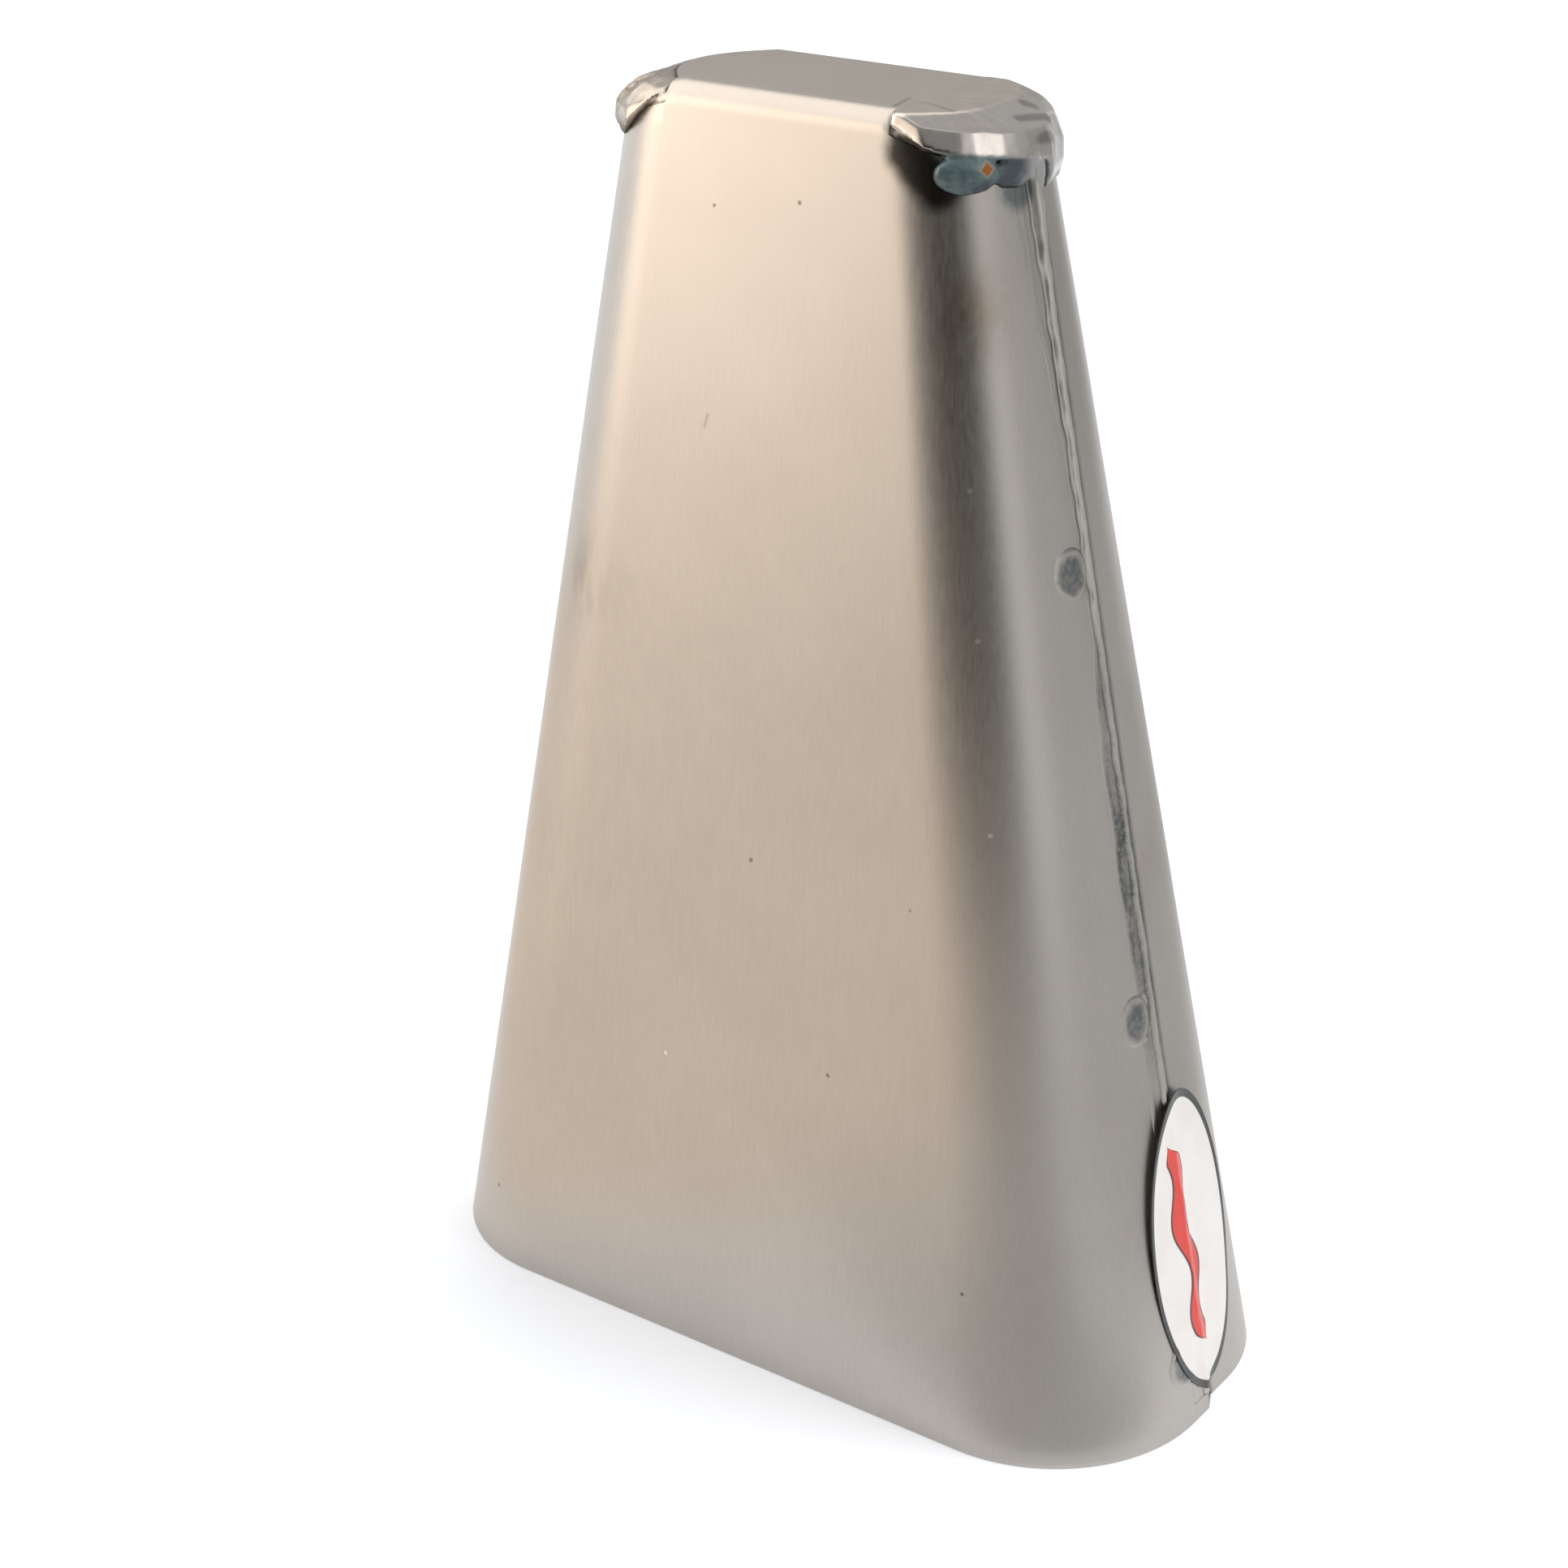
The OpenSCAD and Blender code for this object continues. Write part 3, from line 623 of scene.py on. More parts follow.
floorCards = {    # azimuth, near edge, far edge, width in mm; level, tone, fades left, right, ends
    "frontFloor": (-34.0, 50.0, 1000.0, 1100.0, 1.10, warmWhite, (0.10, 0.10, 0.06)),
    "flagFloor": (33.0, 52.0, 340.0, 225.0, 0.62, plainGrey, (0.40, 0.20, 0.06)),
    "sideFloor": (118.0, 100.0, 620.0, 900.0, 0.70, plainGrey, (0.10, 0.10, 0.10)),
}
ceilings = {    # middle, width and depth in mm; level, tone
    "overhead": ((-900.0, 0.0, 900.0), (1500.0, 1800.0), 2.3, (1.0, 0.94, 0.87, 1)),
    "ceiling": ((200.0, 900.0, 905.0), (1800.0, 2400.0), 0.64, plainGrey),
}
lamps = {    # azimuth, elevation, distance in mm, size in mm, watts: far off, so that the floor is lit evenly
    "keyLamp": (-40.0, 55.0, 4000.0, 2600.0, 9.0),
    "fillLamp": (95.0, 20.0, 4000.0, 2600.0, 46.0),
    "topLamp": (145.0, 80.0, 4000.0, 1200.0, 70.0),
}


def makeCard(name, strength, tone, fade):   # a unit square that only reflections show, soft at its edges
    bpy.ops.object.select_all(action="DESELECT")
    bpy.ops.mesh.primitive_plane_add(size=1.0)
    card = bpy.context.object
    card.name = name
    material = bpy.data.materials.new(name)
    material.use_nodes = True
    tree = material.node_tree
    tree.nodes.clear()
    x, y = apart(tree, addNode(tree, "TexCoord").outputs["Object"])[:2]
    left, right, both = fade
    level = times(tree, ramp(tree, x, -0.5, left - 0.5), ramp(tree, x, 0.5, 0.5 - right),
                  ramp(tree, calc(tree, "ABSOLUTE", y), 0.5, 0.5 - both))
    glow = addNode(tree, "Emission", {"Color": tone, "Strength": strength}).outputs[0]
    clear = addNode(tree, "BsdfTransparent").outputs[0]
    soft = addNode(tree, "MixShader", {0: level, 1: clear, 2: glow}).outputs[0]
    addNode(tree, "OutputMaterial", {"Surface": soft})
    material.cycles.emission_sampling = "NONE"
    card.data.materials.append(material)
    card.visible_camera = card.visible_diffuse = card.visible_shadow = False
    return card


def makeStudio():
    bpy.context.scene.view_settings.view_transform = "Standard"
    bpy.ops.object.select_all(action="DESELECT")
    bpy.ops.mesh.primitive_plane_add(size=12.0, location=(0, 0, -0.1 * mm))
    floor = bpy.context.object
    floor.name = "floor"
    material, tree, shader, place = startMaterial("paleFloor", Roughness=0.9)
    shader.inputs["Base Color"].default_value = studio["floorTone"]
    shader.inputs["Specular IOR Level"].default_value = 0.0
    shader.inputs["Emission Color"].default_value = (1, 1, 1, 1)
    away = calcVector(tree, "LENGTH", place)
    glow = ramp(tree, away, *studio["farFrom"], studio["floorGlow"], studio["farGlow"])
    tree.links.new(times(tree, seenRays(tree), glow), shader.inputs["Emission Strength"])
    material.cycles.emission_sampling = "NONE"
    floor.data.materials.append(material)

    world = bpy.data.worlds.new("studioWorld")
    bpy.context.scene.world = world
    world.use_nodes = True
    world.cycles.sampling_method = "NONE"
    tree = world.node_tree
    tree.nodes.clear()
    sky = addNode(tree, "Background", {"Color": studio["skyTone"], "Strength": studio["skyLevel"]}).outputs[0]
    white = addNode(tree, "Background", {"Color": (1, 1, 1, 1), "Strength": 1.0}).outputs[0]
    either = addNode(tree, "MixShader", {0: seenRays(tree), 1: sky, 2: white}).outputs[0]
    addNode(tree, "OutputWorld", {"Surface": either})

    for name, (azimuth, away, wide, low, high, level, tone, fade) in cards.items():
        card = makeCard(name, level, tone, fade)
        card.scale = (wide * mm, (high - low) * mm, 1)
        card.rotation_euler = (pi / 2, 0, radians(azimuth))
        card.location = aimedFrom(azimuth, 0) * away * mm + Vector((0, 0, (low + high) / 2 * mm))
    for step, (name, (azimuth, near, far, wide, level, tone, fade)) in enumerate(floorCards.items()):
        card = makeCard(name, level, tone, fade)
        card.scale = (wide * mm, (far - near) * mm, 1)
        card.rotation_euler = (0, 0, radians(azimuth))
        lift = Vector((0, 0, (step + 1) * studio["cardLift"] * mm))
        card.location = aimedFrom(azimuth, 0) * (near + far) / 2 * mm + lift

    for name, (middle, size, level, tone) in ceilings.items():
        card = makeCard(name, level, tone, (0.05, 0.05, 0.05))
        card.scale = (size[0] * mm, size[1] * mm, 1)
        card.location = Vector(middle) * mm

    for name, (azimuth, elevation, away, size, watts) in lamps.items():
        data = bpy.data.lights.new(name, "AREA")
        data.shape = "DISK"
        data.size = size * mm
        data.energy = watts
        lamp = bpy.data.objects.new(name, data)
        bpy.context.scene.collection.objects.link(lamp)
        back = aimedFrom(azimuth, elevation)
        lamp.location = back * away * mm
        lamp.rotation_mode = "QUATERNION"
        lamp.rotation_quaternion = (-back).to_track_quat("-Z", "Y")
        lamp.visible_glossy = False


makeCamera()
makeStudio()
print("camera and studio set")


# the folded bell: two walls, two folds and a crown plate of one sheet

bell = {
    "crownWide": 68.5, "crownDeep": 31.0, "mouthFlat": 12.5, "crownFlat": 3.0,
    "sheet": 1.5, "lapGap": 0.15, "lapTurn": 35.0, "foldRadius": 3.5, "crownBulge": 6.4,
    "clipWide": 1.0, "clipHigh": 2.5, "cutSlope": 0.334, "edgeRound": 0.3,
    "bendSteps": 24, "frontSteps": 24, "endSteps": 3, "lapSteps": 6, "rows": 58, "foldSteps": 8,
    "plateRows": 14, "bulgeRings": 3,
    "waviness": 0.22, "waveSize": 46.0,
}
lapStep = bell["sheet"] + bell["lapGap"]


def outlineAt(z):         # half width, half depth, half flat and bend radius of the outside at one height
    up = z / tall
    halfWide = mixed(sheetHigh.x / mm, bell["crownWide"] / 2, up)
    halfDeep = mixed(sheetHigh.y / mm, bell["crownDeep"] / 2, up)
    halfFlat = mixed(bell["mouthFlat"], bell["crownFlat"], up) / 2
    return halfWide, halfDeep, halfFlat, halfDeep - halfFlat


def startAt(x, y, z):
    bpy.ops.mesh.select_all(action="DESELECT")
    bpy.ops.mesh.primitive_plane_add(size=mm, location=Vector((x, y, z)) * mm)
    bpy.ops.mesh.merge(type="CENTER")


def lineBy(x, y, steps=1):
    for step in range(steps):
        move = Vector((x, y, 0)) * mm / steps
        bpy.ops.mesh.extrude_region_move(TRANSFORM_OT_translate={"value": move})


def arcAbout(x, y, z, angle, steps):      # positive angles run clockwise, seen from above
    bpy.ops.mesh.spin(steps=steps, angle=radians(angle), center=Vector((x, y, z)) * mm, axis=(0, 0, 1))


def drawFront(z):
    halfWide, halfDeep, halfFlat, radius = outlineAt(z)
    clip = bell["clipWide"]
    startAt(halfWide, 0, z)
    lineBy(0, -clip)
    lineBy(0, clip - halfFlat, bell["endSteps"])
    arcAbout(halfWide - radius, -halfFlat, z, 90, bell["bendSteps"])
    lineBy(2 * (radius - halfWide), 0, bell["frontSteps"])
    arcAbout(radius - halfWide, -halfFlat, z, 90, bell["bendSteps"])
    lineBy(0, halfFlat - clip, bell["endSteps"])
    lineBy(0, clip)


def drawRear(z):
    halfWide, halfDeep, halfFlat, radius = outlineAt(z)
    lap = radians(bell["lapTurn"])
    tight = radius - lapStep
    rearBend = halfDeep - tight
    startAt(halfWide - radius + tight * cos(lap), -halfFlat - tight * sin(lap), z)
    arcAbout(halfWide - radius, -halfFlat, z, -bell["lapTurn"], bell["lapSteps"])
    lineBy(0, halfFlat + rearBend, 2 * bell["endSteps"])
    arcAbout(halfWide - radius, rearBend, z, -90, bell["bendSteps"])
    lineBy(2 * (radius - halfWide), 0, bell["frontSteps"])
    arcAbout(radius - halfWide, rearBend, z, -90, bell["bendSteps"])
    lineBy(0, -halfFlat - rearBend, 2 * bell["endSteps"])
    arcAbout(radius - halfWide, -halfFlat, z, -bell["lapTurn"], bell["lapSteps"])


lean = Vector((0, (sheetHigh.y / mm - bell["crownDeep"] / 2), tall)).normalized()     # the way up a wide wall
foldMiddle = tall - bell["foldRadius"]
foldTop = foldMiddle + bell["foldRadius"] * lean.y
foldHalf = outlineAt(foldTop)[0] - outlineAt(foldTop)[3]
foldDeep = outlineAt(foldTop)[1] - bell["foldRadius"] * lean.z


def makeWall(name, draw, way):            # way: -1 for the front wall, 1 for the rear
    wall = startMesh(name)
    for z in (0, tall):
        draw(z)
    bpy.ops.mesh.select_all(action="SELECT")
    bpy.ops.mesh.select_mode(type="EDGE")
    bpy.ops.mesh.select_all(action="SELECT")
    bpy.ops.mesh.bridge_edge_loops(number_cuts=bell["rows"], interpolation="LINEAR")
    bpy.ops.mesh.select_all(action="SELECT")
    bpy.ops.mesh.bisect(plane_co=(0, 0, foldTop * mm), plane_no=(0, 0, 1), clear_outer=True)
    for side in sides.values():           # the bends are cut back at a slope from the ends of the fold
        pick("FACE", lambda at: side * at.x > outlineAt(at.z)[0] - outlineAt(at.z)[3] + 0.001)
        bpy.ops.mesh.bisect(plane_co=(side * foldHalf * mm, 0, foldTop * mm),
                            plane_no=(side * bell["cutSlope"], 0, 1), clear_outer=True)
    pick("EDGE", lambda at: at.z > foldTop - 0.01 and abs(at.x) < foldHalf)
    turn = pi / 2 - lean.angle(Vector((0, 0, 1)))
    bpy.ops.mesh.spin(steps=bell["foldSteps"], angle=-way * turn, axis=(1, 0, 0),
                      center=(0, way * foldDeep * mm, foldMiddle * mm))
    closeMesh()
    return wall


def clipSeamFoot(side):
    halfWide = outlineAt(0)[0]
    pick("VERT", lambda at: abs(at.x - side * halfWide) < 0.01 and abs(at.y) < 0.01 and at.z < 0.01)
    top = outlineAt(bell["clipHigh"])[0]
    bpy.ops.transform.translate(value=(side * (top - halfWide) * mm, 0, bell["clipHigh"] * mm))


def bulgePlateEnd(side):
    pick("EDGE", lambda at: abs(at.x - side * foldHalf) < 0.02 and at.z > tall - 0.02
         and abs(at.y) < foldDeep)
    share = bell["crownBulge"] / bell["bulgeRings"]
    for ring in range(bell["bulgeRings"]):
        bpy.ops.mesh.extrude_region_move()
        nudge(lambda at: (side * share * (1 - (at.y / foldDeep) ** 2), 0, 0))


def makeBell():
    body = makeWall("bellSheet", drawFront, -1)
    openMesh(body)
    for side in sides.values():
        clipSeamFoot(side)
    closeMesh()
    rear = makeWall("rearWall", drawRear, 1)
    activate(body)
    rear.select_set(True)
    bpy.ops.object.join()
    openMesh(body)
    pick("EDGE", lambda at: at.z > tall - 0.01)
    bpy.ops.mesh.bridge_edge_loops(number_cuts=bell["plateRows"], interpolation="LINEAR")
    for side in sides.values():
        bulgePlateEnd(side)
    bpy.ops.mesh.select_all(action="SELECT")
    bpy.ops.mesh.remove_doubles(threshold=0.005 * mm)
    bpy.ops.mesh.normals_make_consistent(inside=False)
    closeMesh()
    weigh(body, "loose", lambda at: smoothStep(tall - 2, tall - 40, at.z) * smoothStep(0, 12, at.z))
    modify(body, "DISPLACE", texture=clouds("sheetWaves", bell["waveSize"]), strength=bell["waviness"] * mm,
           mid_level=0.5, vertex_group="loose")
    modify(body, "SOLIDIFY", thickness=bell["sheet"] * mm, offset=-1.0, use_even_offset=True)
    openMesh(body)
    pick("VERT", lambda at: at.z < 0)     # the rim's inner edge dips below its outer edge, so it is set level
    nudge(lambda at: (0, 0, -at.z))
    closeMesh()
    modify(body, "BEVEL", width=bell["edgeRound"] * mm, segments=2, limit_method="ANGLE",
           angle_limit=radians(55))
    activate(body)
    bpy.ops.object.shade_smooth_by_angle(angle=radians(35))
    return body


bellSheet = makeBell()
settle(bellSheet, "bell_sheet", "satin_steel", makeSatinSteel())
print("bell folded,", len(bellSheet.data.polygons), "faces")


# filler that closes the crown's two ends: a ground block, a plug in the corner behind it, and runs below

weld = {
    "voxel": 0.30, "smoothing": 15, "bendHigh": 208.0, "crustSize": 2.4, "wavy": 0.16, "wavySize": 6.0,
    "toeReach": 0.8, "foldTurns": (20.0, 45.0, 70.0), "foldProud": 0.12,
    "plugIn": 0.14, "plugLean": 8.0, "plugFrom": 18.6, "plugUnder": (20.0, 208.7, 0.36), "plugFoot": 202.0,
    "rearFrom": 1.7, "rearUnder": (20.0, 207.0, 0.62), "rearFoot": 199.6, "rearFade": (5.0, 10.0, 0.85),
    "blank": 140.0,
}
runs = {    # turn round the bend, height, how far out its middle lies; radii out, along and up
    "belly": (45.0, 203.7, 0.0, (2.2, 5.0, 3.1)),
    "endRun": (15.0, 203.2, 0.0, (1.4, 4.0, 2.4)),
    "knot": (-2.0, 202.6, 0.8, (1.3, 1.3, 3.6)),
}
dome = ((7.9, 0.25), (9.0, 0.41), (10.6, 0.72), (12.0, 1.10))
ends = {    # shoulders: turn, start, fall per mm; sides: turn, reach, tilt; inner: x, y, way out
    "right": {
        "top": 0.05, "runs": tuple(runs), "crust": 0.50, "under": (20.0, 210.5, 0.42), "foot": (204.1, 0.178),
        "inner": ((18.2, 0.0, -1.0, 0.0), (17.8, -6.6, -0.948, -0.319)),
        "rear": ((-18, 17.2, -16), (-36, 16.7, -16), (-55, 16.2, -16)),
        "shoulders": ((60, 13.2, 0.85), (50, 11.9, 0.66), (33, 11.1, 0.55), (16, 10.2, 0.52), (0, 9.4, 0.52),
                      (-18, 9.2, 0.52), (-36, 9.2, 0.50), (-36, 10.3, 0.85), (-60, 9.6, 0.60),
                      (-60, 10.6, 0.90)),
        "sides": ((85, 15.1, 15), (57, 15.6, 22), (43, 15.75, 22), (31, 15.6, 22), (20, 15.75, 22),
                  (10, 15.7, 22), (2, 15.7, 22), (-18, 14.6, 22), (-36, 14.2, 22), (-55, 13.9, 22),
                  (14, 16.5, 2), (2, 16.4, 2), (-18, 15.4, 2), (-36, 15.0, 1), (-55, 14.5, 1)),
    },
    "left": {
        "top": -0.20, "runs": (), "crust": 0.60, "under": (20.4, 211.3, 0.87), "foot": (201.2, 0.0),
        "inner": ((19.9, 0.0, -1.0, 0.0),), "rear": None,
        "shoulders": tuple((turn, start, fall) for turn in (20, 36, 51, 66) for start, fall in dome)
        + tuple((turn, start - 2.6, fall) for turn in (4, -10, -27, -45) for start, fall in dome),
        "sides": ((80, 15.4, 12), (60, 16.2, 8), (48, 16.3, 4), (36, 16.5, 2), (24, 16.4, 2), (8, 16.2, 4),
                  (-12, 15.0, 8), (-40, 14.4, 12), (60, 18.0, -25), (42, 18.4, -25), (24, 18.4, -25),
                  (6, 18.0, -25)),
    },
}


def bendAt(side, turn):   # way out, axis and radius of the bend at one turn, behind the lap from nought down
    halfWide, halfDeep, halfFlat, radius = outlineAt(weld["bendHigh"])
    tight = radius - lapStep
    out = Vector((side * cos(radians(turn)), -sin(radians(turn)), 0))
    middle = side * (halfWide - radius)
    if turn > 0:
        return out, Vector((middle, -halfFlat, 0)), radius
    return out, Vector((middle, halfDeep - tight, 0)), tight


def turnAt(side, at):
    halfWide, halfDeep, halfFlat, radius = outlineAt(weld["bendHigh"])
    return degrees(atan2(-at.y - halfFlat, side * at.x - halfWide + radius))


def foldPlane(way, turn, stand):          # along a fold of the crown, the rear one for way 1
    out = Vector((0, way * sin(radians(turn)), cos(radians(turn))))
    return Vector((0, way * foldDeep, foldMiddle)) + out * (bell["foldRadius"] + stand), out


def stopAt(z, fall=0.0):                  # a level or gently sloped plane that a block stays above
    return Vector((0, 0, z)), Vector((0, -fall, -1)).normalized()


def underPlane(side, x, z, fall):
    return Vector((side * x, 0, z)), Vector((-side * fall, 0, -1)).normalized()


def sidePlanes(side, faces):
    planes = []
    for turn, reach, tilt in faces:
        out, middle, radius = bendAt(side, turn)
        planes.append((middle + out * reach + Vector((0, 0, weld["bendHigh"])),
                       out * cos(radians(tilt)) + Vector((0, 0, sin(radians(tilt))))))
    return planes


def groundPlanes(side, end):              # point and way out of every ground face, in mm
    up = Vector((0, 0, 1))
    top = (tall + end["top"]) * up
    planes = [(top, up)]
    for turn, start, fall in end["shoulders"]:
        out, middle, radius = bendAt(side, turn)
        planes.append((middle + out * start + tall * up, (out * fall + up).normalized()))
    planes += sidePlanes(side, end["sides"])
    return planes + [foldPlane(1, turn, weld["foldProud"]) for turn in weld["foldTurns"]]


def limitPlanes(side, end):               # where the block stops on the crown and underneath
    planes = [(Vector((side * x, y, 0)), Vector((side * wayX, wayY, 0))) for x, y, wayX, wayY in end["inner"]]
    return planes + [underPlane(side, *end["under"]), stopAt(*end["foot"])]


def plugPlanes(side, end):                # flush with the walls and the folds, closing the corner
    up = Vector((0, 0, 1))
    inset, wallLean = weld["plugIn"], radians(weld["plugLean"])
    planes = [(point - inset * out, out) for point, out in groundPlanes(side, end)]
    planes += [((tall - inset) * up, up), (Vector((side * weld["plugFrom"], 0, 0)), Vector((-side, 0, 0)))]
    for turn in range(-75, 90, 15):
        out, middle, radius = bendAt(side, turn)
        planes.append((middle + out * (radius - inset) + weld["bendHigh"] * up,
                       out * cos(wallLean) + up * sin(wallLean)))
    planes += [foldPlane(way, turn, -inset) for way in (-1, 1) for turn in weld["foldTurns"]]
    return planes + [underPlane(side, *weld["plugUnder"]), stopAt(weld["plugFoot"])]


def rearPlanes(side, end):                # the block behind the seam reaches lower
    planes = sidePlanes(side, end["rear"])
    planes += [(Vector((0, weld["rearFrom"], 0)), Vector((0, -1, 0))), underPlane(side, *weld["rearUnder"])]
    planes += [stopAt(weld["rearFoot"])]
    return planes + [(Vector((side * end["inner"][0][0], 0, 0)), Vector((-side, 0, 0)))]


def cutBlock(name, planes):               # a closed block, cut from a cube, that lies behind every plane
    bpy.ops.object.select_all(action="DESELECT")
    bpy.ops.mesh.primitive_cube_add(size=weld["blank"] * mm, location=(0, 0, tall * mm))
    block = bpy.context.object
    block.name = name
    bpy.ops.object.transform_apply(location=True, rotation=True, scale=True)
    openMesh(block)
    for point, out in planes:
        bpy.ops.mesh.select_all(action="SELECT")
        bpy.ops.mesh.bisect(plane_co=point * mm, plane_no=out, clear_outer=True, use_fill=True)
    bpy.ops.mesh.select_all(action="SELECT")
    bpy.ops.mesh.normals_make_consistent(inside=False)
    closeMesh()
    return block


def addRuns(side, end):
    for name in end["runs"]:
        turn, z, stand, radii = runs[name]
        halfWide, halfDeep, halfFlat, radius = outlineAt(z)
        out = Vector((side * cos(radians(turn)), -sin(radians(turn)), 0))
        middle = Vector((side * (halfWide - radius), -halfFlat, z)) + out * (radius + stand)
        bpy.ops.mesh.primitive_uv_sphere_add(segments=32, ring_count=16, radius=mm, scale=radii,
                                             location=middle * mm, rotation=(0, 0, atan2(out.y, out.x)))


def makeWeld(name, side):
    end = ends[name]
    planes = groundPlanes(side, end)
    piece = cutBlock(name + "CrownWeld", planes + limitPlanes(side, end))
    more = [cutBlock(name + "Plug", plugPlanes(side, end))]
    if end["rear"]:
        more.append(cutBlock(name + "Rear", planes + rearPlanes(side, end)))
    activate(piece)
    for block in more:
        block.select_set(True)
    bpy.ops.object.join()
    openMesh(piece)
    addRuns(side, end)
    closeMesh()
    modify(piece, "REMESH", mode="VOXEL", voxel_size=weld["voxel"] * mm)
    modify(piece, "SMOOTH", factor=0.5, iterations=weld["smoothing"])

    point, under = underPlane(side, *end["under"])

    def plugAt(at):       # one on the flush plug under the block
        return smoothStep(0.05, 0.3, (at - point).dot(under))

    def polishAt(at):     # one where the filler was ground, nought on the runs and on crust
        if not end["runs"]:
            return max(plugAt(at), smoothStep(48, 60, turnAt(side, at)), smoothStep(210.8, 211.6, at.z))
        low = end["foot"][0] - end["foot"][1] * at.y + 0.4
        near = max(smoothStep(0.8, 0.3, (face - at).dot(out)) for face, out in planes)
        return near * max(smoothStep(low - 0.35, low + 0.35, at.z), smoothStep(2.5, 4.0, at.y))

    weigh(piece, "crusty", lambda at: 1.0 - polishAt(at))
    weigh(piece, "wavy", lambda at: smoothStep(tall - 0.2, tall - 1.5, at.z))
    modify(piece, "DISPLACE", texture=clouds(name + "Crust", weld["crustSize"], 3),
           strength=end["crust"] * mm, mid_level=0.5, vertex_group="crusty")
    modify(piece, "DISPLACE", texture=clouds(name + "Wavy", weld["wavySize"]), strength=weld["wavy"] * mm,
           mid_level=0.5, vertex_group="wavy")
    activate(piece)
    bpy.ops.object.shade_smooth()
    sheet = BVHTree.FromObject(bellSheet, bpy.context.evaluated_depsgraph_get())
    reach = weld["toeReach"]
    fadeFrom, fadeTo, faded = weld["rearFade"]

    def toeAt(at):        # one where painted shade and soot go, in the seam beside the sheet
        away = sheet.find_nearest(at * mm)[3] / mm
        low = smoothStep(reach, reach * 0.3, away) * smoothStep(tall - 0.2, tall - 1.2, at.z)
        if end["runs"]:
            return low * (1.0 - faded * smoothStep(fadeFrom, fadeTo, at.y))
        plateEnd = foldHalf + bell["crownBulge"] * max(0.0, 1 - (at.y / foldDeep) ** 2)
        groove = smoothStep(0.9, 0.4, side * at.x - plateEnd) * smoothStep(tall - 2.0, tall - 1.4, at.z)
        return max(low * smoothStep(0.9, 0.4, (at - point).dot(under)), groove)

    paint(piece, "ground", polishAt)
    paint(piece, "toe", toeAt)
    paint(piece, "plug", plugAt)
    return piece


fillers = {"right": makeWeldFiller(), "left": makeCrustyFiller()}
for name, side in sides.items():
    lump = makeWeld(name, side)
    settle(lump, name + "_crown_weld", "weld_filler", fillers[name])
    print(name, "crown weld run,", len(lump.data.polygons), "faces")


# beads that close the two lapped seams, and the spot welds beside them

spot = {
    "across": 8.1, "stretch": 1.08, "around": 56, "rings": 14, "gapMouth": 2.0, "gapCrown": 0.1,
    "high": {"upper": 143.2, "middle": 71.0, "lower": 11.0}, "crest": 0.80, "crestHigh": 0.28, "floor": 0.07,
    "beadIn": 0.85, "sink": 0.05, "reach": 0.6, "thick": 0.4, "uneven": 0.22, "unevenSize": 1.5,
}
bead = {
    "foot": 2.8, "top": 203.6, "rows": 330, "columns": 60, "rearEdge": 0.6, "wide": 5.8, "pinch": 2.2,
    "under": 0.15, "flush": 0.05, "edgeSoft": 0.5, "lip": 0.10,
    "changeFrom": 120.0, "changeTo": 160.0, "ridgeIn": 1.35, "ridgeInHigh": 1.60, "ridgeHalf": 0.9,
    "ridgeHalfHigh": 1.2, "ridgeHigh": 0.50, "ridgeTall": 0.85,
    "headFrom": 180.0, "headTo": 200.0, "headHalf": 0.55, "headHigh": 0.50,
    "scaleFrom": 52.0, "scaleFull": 80.0, "scaleEase": 112.0, "scaleTo": 146.0, "reach": 1.8, "thick": 0.5,
    "rippleSize": 1.7, "ripple": 0.13, "lineHalf": 0.26,
}


def spotMiddle(side, z):
    gap = mixed(spot["gapMouth"], spot["gapCrown"], z / tall)
    return Vector((side * standOff, -spot["beadIn"] - gap - spot["across"] / 2, z))


def outOfSpot(at, middle):                # share of the radius
    return Vector((0, at.y - middle.y, (at.z - middle.z) / spot["stretch"])).length / spot["across"] * 2


def hump(value):
    return max(0.0, 1 - value * value) ** 1.5


def beadLeft(z):
    wander = 0.25 * sin(z * 0.19) + 0.15 * sin(z * 0.43 + 1.3)
    return wander - bead["wide"] + bead["pinch"] * (smoothStep(112, 134, z) - 1.1 * smoothStep(156, 186, z))


def ridgeShape(z):        # middle, half width and height of the main ridge at one height
    change = smoothStep(bead["changeFrom"], bead["changeTo"], z)
    head = smoothStep(bead["headFrom"], bead["headTo"], z)
    wander = 0.12 * sin(z * 0.55) + 0.08 * sin(z * 1.31 + 1.0)
    half = mixed(bead["ridgeHalf"], bead["ridgeHalfHigh"], change) + bead["headHalf"] * head
    half += 0.10 * sin(z * 0.83 + 2.0)
    middle = wander - mixed(bead["ridgeIn"], bead["ridgeInHigh"], change)
    return middle, half, mixed(bead["ridgeHigh"], bead["ridgeTall"], change) + bead["headHigh"] * head


def ridgeAt(at):
    middle, half, high = ridgeShape(at.z)
    return hump((at.y - middle) / half)


def beadLift(at):         # height of the bead over the sheet, in mm
    left = beadLeft(at.z)
    flat = mixed(-bead["under"], bead["flush"], smoothStep(left, left + bead["edgeSoft"], at.y))
    lip = bead["lip"] * hump((at.y - left - 1.1) / 0.9)
    within = min(outOfSpot(at, spotMiddle(1, z)) for z in spot["high"].values())
    inSpot = smoothStep(1.22, 1.04, within)
    return max(mixed(flat + lip, -bead["under"], inSpot), flat + ridgeAt(at) * ridgeShape(at.z)[2] - 0.05)


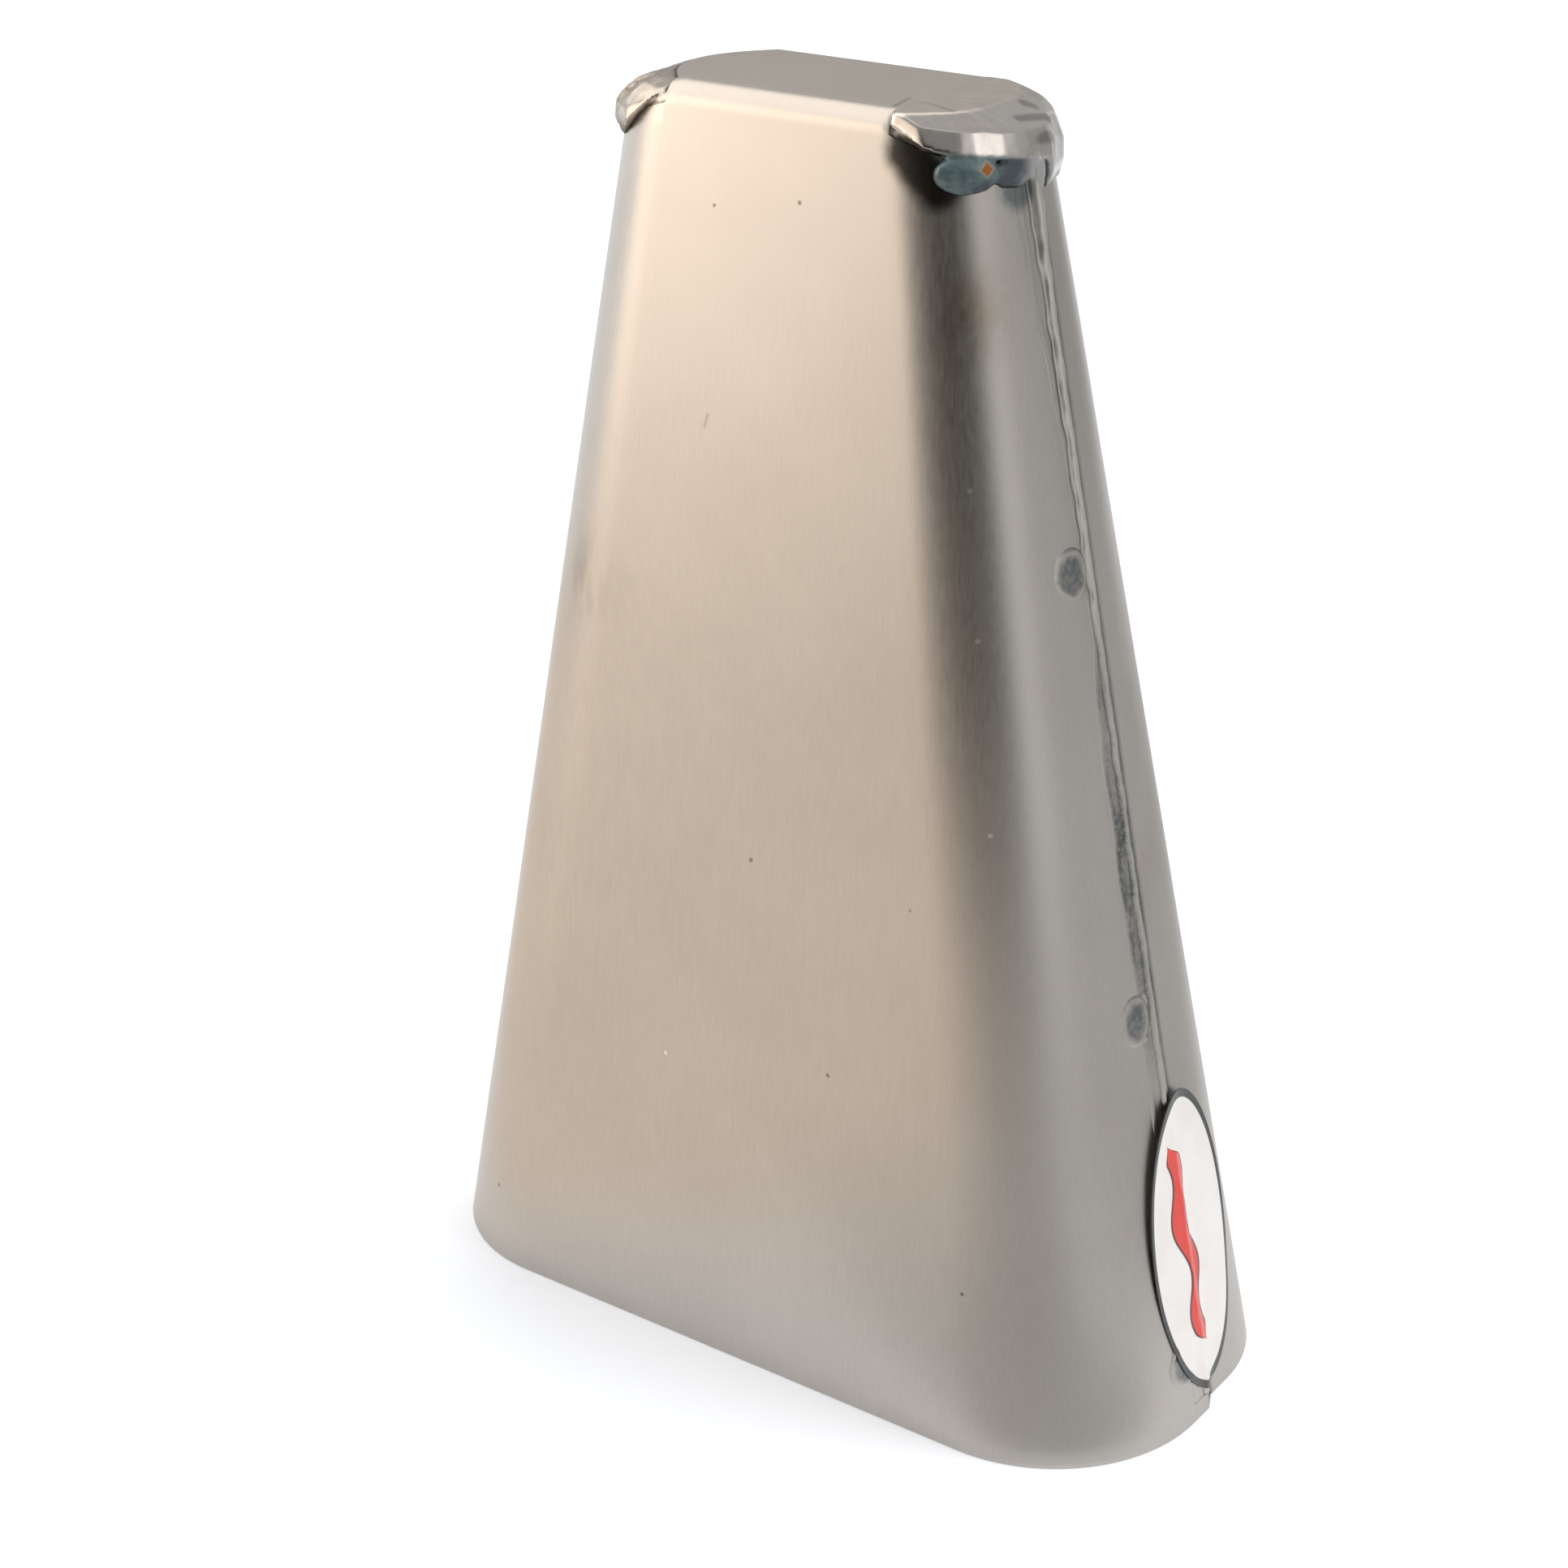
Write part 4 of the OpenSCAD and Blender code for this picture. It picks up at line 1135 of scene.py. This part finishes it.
def lineAt(at):           # painted shade in the valley left of the ridge, and a fainter one where the bead starts
    middle, half, high = ridgeShape(at.z)
    valley = hump((at.y - middle + half + 0.10) / bead["lineHalf"])
    start = hump((at.y - beadLeft(at.z) - 0.5) / (2 * bead["lineHalf"]))
    return max(valley * mixed(0.55, 0.9, smoothStep(130, 165, at.z)),
               start * 0.22 * smoothStep(118, 150, at.z))


def scalyAt(at):          # dull scale, strongest along the middle of the seam
    along = smoothStep(bead["scaleFrom"], bead["scaleFull"], at.z)
    along *= smoothStep(bead["scaleTo"], bead["scaleEase"], at.z)
    left = beadLeft(at.z)
    return (0.06 + 0.94 * along) * smoothStep(left + 0.2, left + 1.4, at.y)


def makeBead(name, side):
    bpy.ops.object.select_all(action="DESELECT")
    bpy.ops.mesh.primitive_grid_add(x_subdivisions=bead["columns"], y_subdivisions=bead["rows"], size=mm)
    piece = bpy.context.object
    piece.name = name + "SeamBead"
    openMesh(piece)
    bpy.ops.mesh.select_all(action="SELECT")

    def laidOut(at):      # the unit grid becomes a tall strip standing off the end of the bell
        z = mixed(bead["foot"], bead["top"], at.y + 0.5)
        y = mixed(beadLeft(z), bead["rearEdge"], at.x + 0.5)
        return Vector((side * standOff, y, z)) - at

    nudge(laidOut)
    bpy.ops.mesh.normals_make_consistent(inside=False)
    closeMesh()
    layOn(piece, bellSheet, side)
    paint(piece, "ridge", ridgeAt)
    paint(piece, "line", lineAt)
    paint(piece, "scaly", scalyAt)
    # where the painted shadow of the lap's gap goes
    paint(piece, "gap", lambda at: smoothStep(-0.35, 0.05, at.y))
    low = bead["under"]
    weigh(piece, "lift", lambda at: (beadLift(at) + low) / bead["reach"])
    weigh(piece, "rippled", lambda at: ridgeAt(at) + 0.4 * scalyAt(at))
    modify(piece, "DISPLACE", strength=bead["reach"] * mm, mid_level=0.0, vertex_group="lift")
    modify(piece, "DISPLACE", texture=clouds(name + "Ripple", bead["rippleSize"]),
           strength=bead["ripple"] * mm, mid_level=0.5, vertex_group="rippled")
    modify(piece, "DISPLACE", strength=-low * mm, mid_level=0.0)
    modify(piece, "SOLIDIFY", thickness=bead["thick"] * mm, offset=-1.0)
    activate(piece)
    bpy.ops.object.shade_smooth()
    return piece


weldScale = makeWeldScale()
seamBeads = {}
for name, side in sides.items():
    seamBeads[name] = makeBead(name, side)
    settle(seamBeads[name], name + "_seam_bead", "weld_scale", weldScale)
    print(name, "seam bead run")


# spot weld marks beside each seam

def spotLift(out):        # height at a share of the radius: floor, crest and the run down to the sheet
    inner = mixed(spot["floor"], spot["crestHigh"], smoothStep(0.50, spot["crest"], out))
    return inner * smoothStep(1.0, spot["crest"], out)


def makeSpot(name, side, z):
    radius, middle = spot["across"] / 2, spotMiddle(side, z)
    piece = makeDisc(name, spot["around"], radius, spot["rings"], (1, 1, spot["stretch"]), middle)
    layOn(piece, bellSheet, side)
    paint(piece, "ringOut", lambda at: outOfSpot(at, middle))
    paint(piece, "corner", lambda at: (at.y - middle.y + at.z - middle.z) / radius)
    weigh(piece, "lift", lambda at: spotLift(outOfSpot(at, middle)) / spot["reach"])
    modify(piece, "DISPLACE", strength=spot["reach"] * mm, mid_level=0.0, vertex_group="lift")
    modify(piece, "DISPLACE", texture=clouds(name + "Uneven", spot["unevenSize"]),
           strength=spot["uneven"] * mm, mid_level=0.5, vertex_group="lift")
    modify(piece, "DISPLACE", strength=-spot["sink"] * mm, mid_level=0.0)
    modify(piece, "SOLIDIFY", thickness=spot["thick"] * mm, offset=-1.0)
    activate(piece)
    bpy.ops.object.shade_smooth()
    return piece


spotSteel = makeSpotSteel()
spotMarks = {}
for name, side in sides.items():
    for level, z in spot["high"].items():
        mark = makeSpot(name + "SpotWeld" + level.title(), side, z)
        settle(mark, name + "_spot_weld_" + level, "weld_scale", spotSteel)
        spotMarks[name, level] = mark
print("six spot welds struck")


# the oval label, laid over the right seam

labelLow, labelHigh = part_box("label")
label = {
    "rings": 26, "around": 132, "thick": 0.2, "clear": 0.05, "bridge": 0.55, "drapes": 14, "drapeSteps": 24,
}


def copyUnder(*pieces):   # one joined copy of what the label lies on
    bpy.ops.object.select_all(action="DESELECT")
    for piece in pieces:
        piece.select_set(True)
    bpy.context.view_layer.objects.active = pieces[0]
    bpy.ops.object.duplicate()
    bpy.ops.object.join()
    return bpy.context.object


def makeLabel():
    halfWide = (labelHigh.y - labelLow.y) / 2 / mm
    halfTall = (labelHigh.z - labelLow.z) / 2 / mm
    middle = (labelLow + labelHigh) / 2 / mm
    under = copyUnder(bellSheet, seamBeads["right"], spotMarks["right", "lower"])
    piece = makeDisc("label", label["around"], halfTall, label["rings"], (1, halfWide / halfTall, 1),
                     Vector((standOff, middle.y, middle.z)))
    layOn(piece, under, 1)
    bpy.data.objects.remove(under)
    lying = []
    for point in piece.data.vertices:     # behind the lap the film bridges the step
        bridge = label["bridge"] * smoothStep(0.0, 2.0, point.co.y / mm)
        lying.append(point.co.x + (label["clear"] + bridge) * mm)
    for fall in range(label["drapes"]):   # smoothed, then lifted clear of what is under it
        modify(piece, "SMOOTH", factor=0.5, iterations=label["drapeSteps"], use_y=False, use_z=False)
        for point, x in zip(piece.data.vertices, lying):
            point.co.x = max(point.co.x, x)
    modify(piece, "SMOOTH", factor=0.5, iterations=2, use_y=False, use_z=False)
    modify(piece, "SOLIDIFY", thickness=label["thick"] * mm, offset=1.0)
    activate(piece)
    bpy.ops.object.shade_smooth_by_angle(angle=radians(50))
    film = makeLabelFilm((middle.y, middle.z), halfWide, halfTall)
    settle(piece, "label", "label_film", film)


makeLabel()
print("label laid")


print("all pieces made")
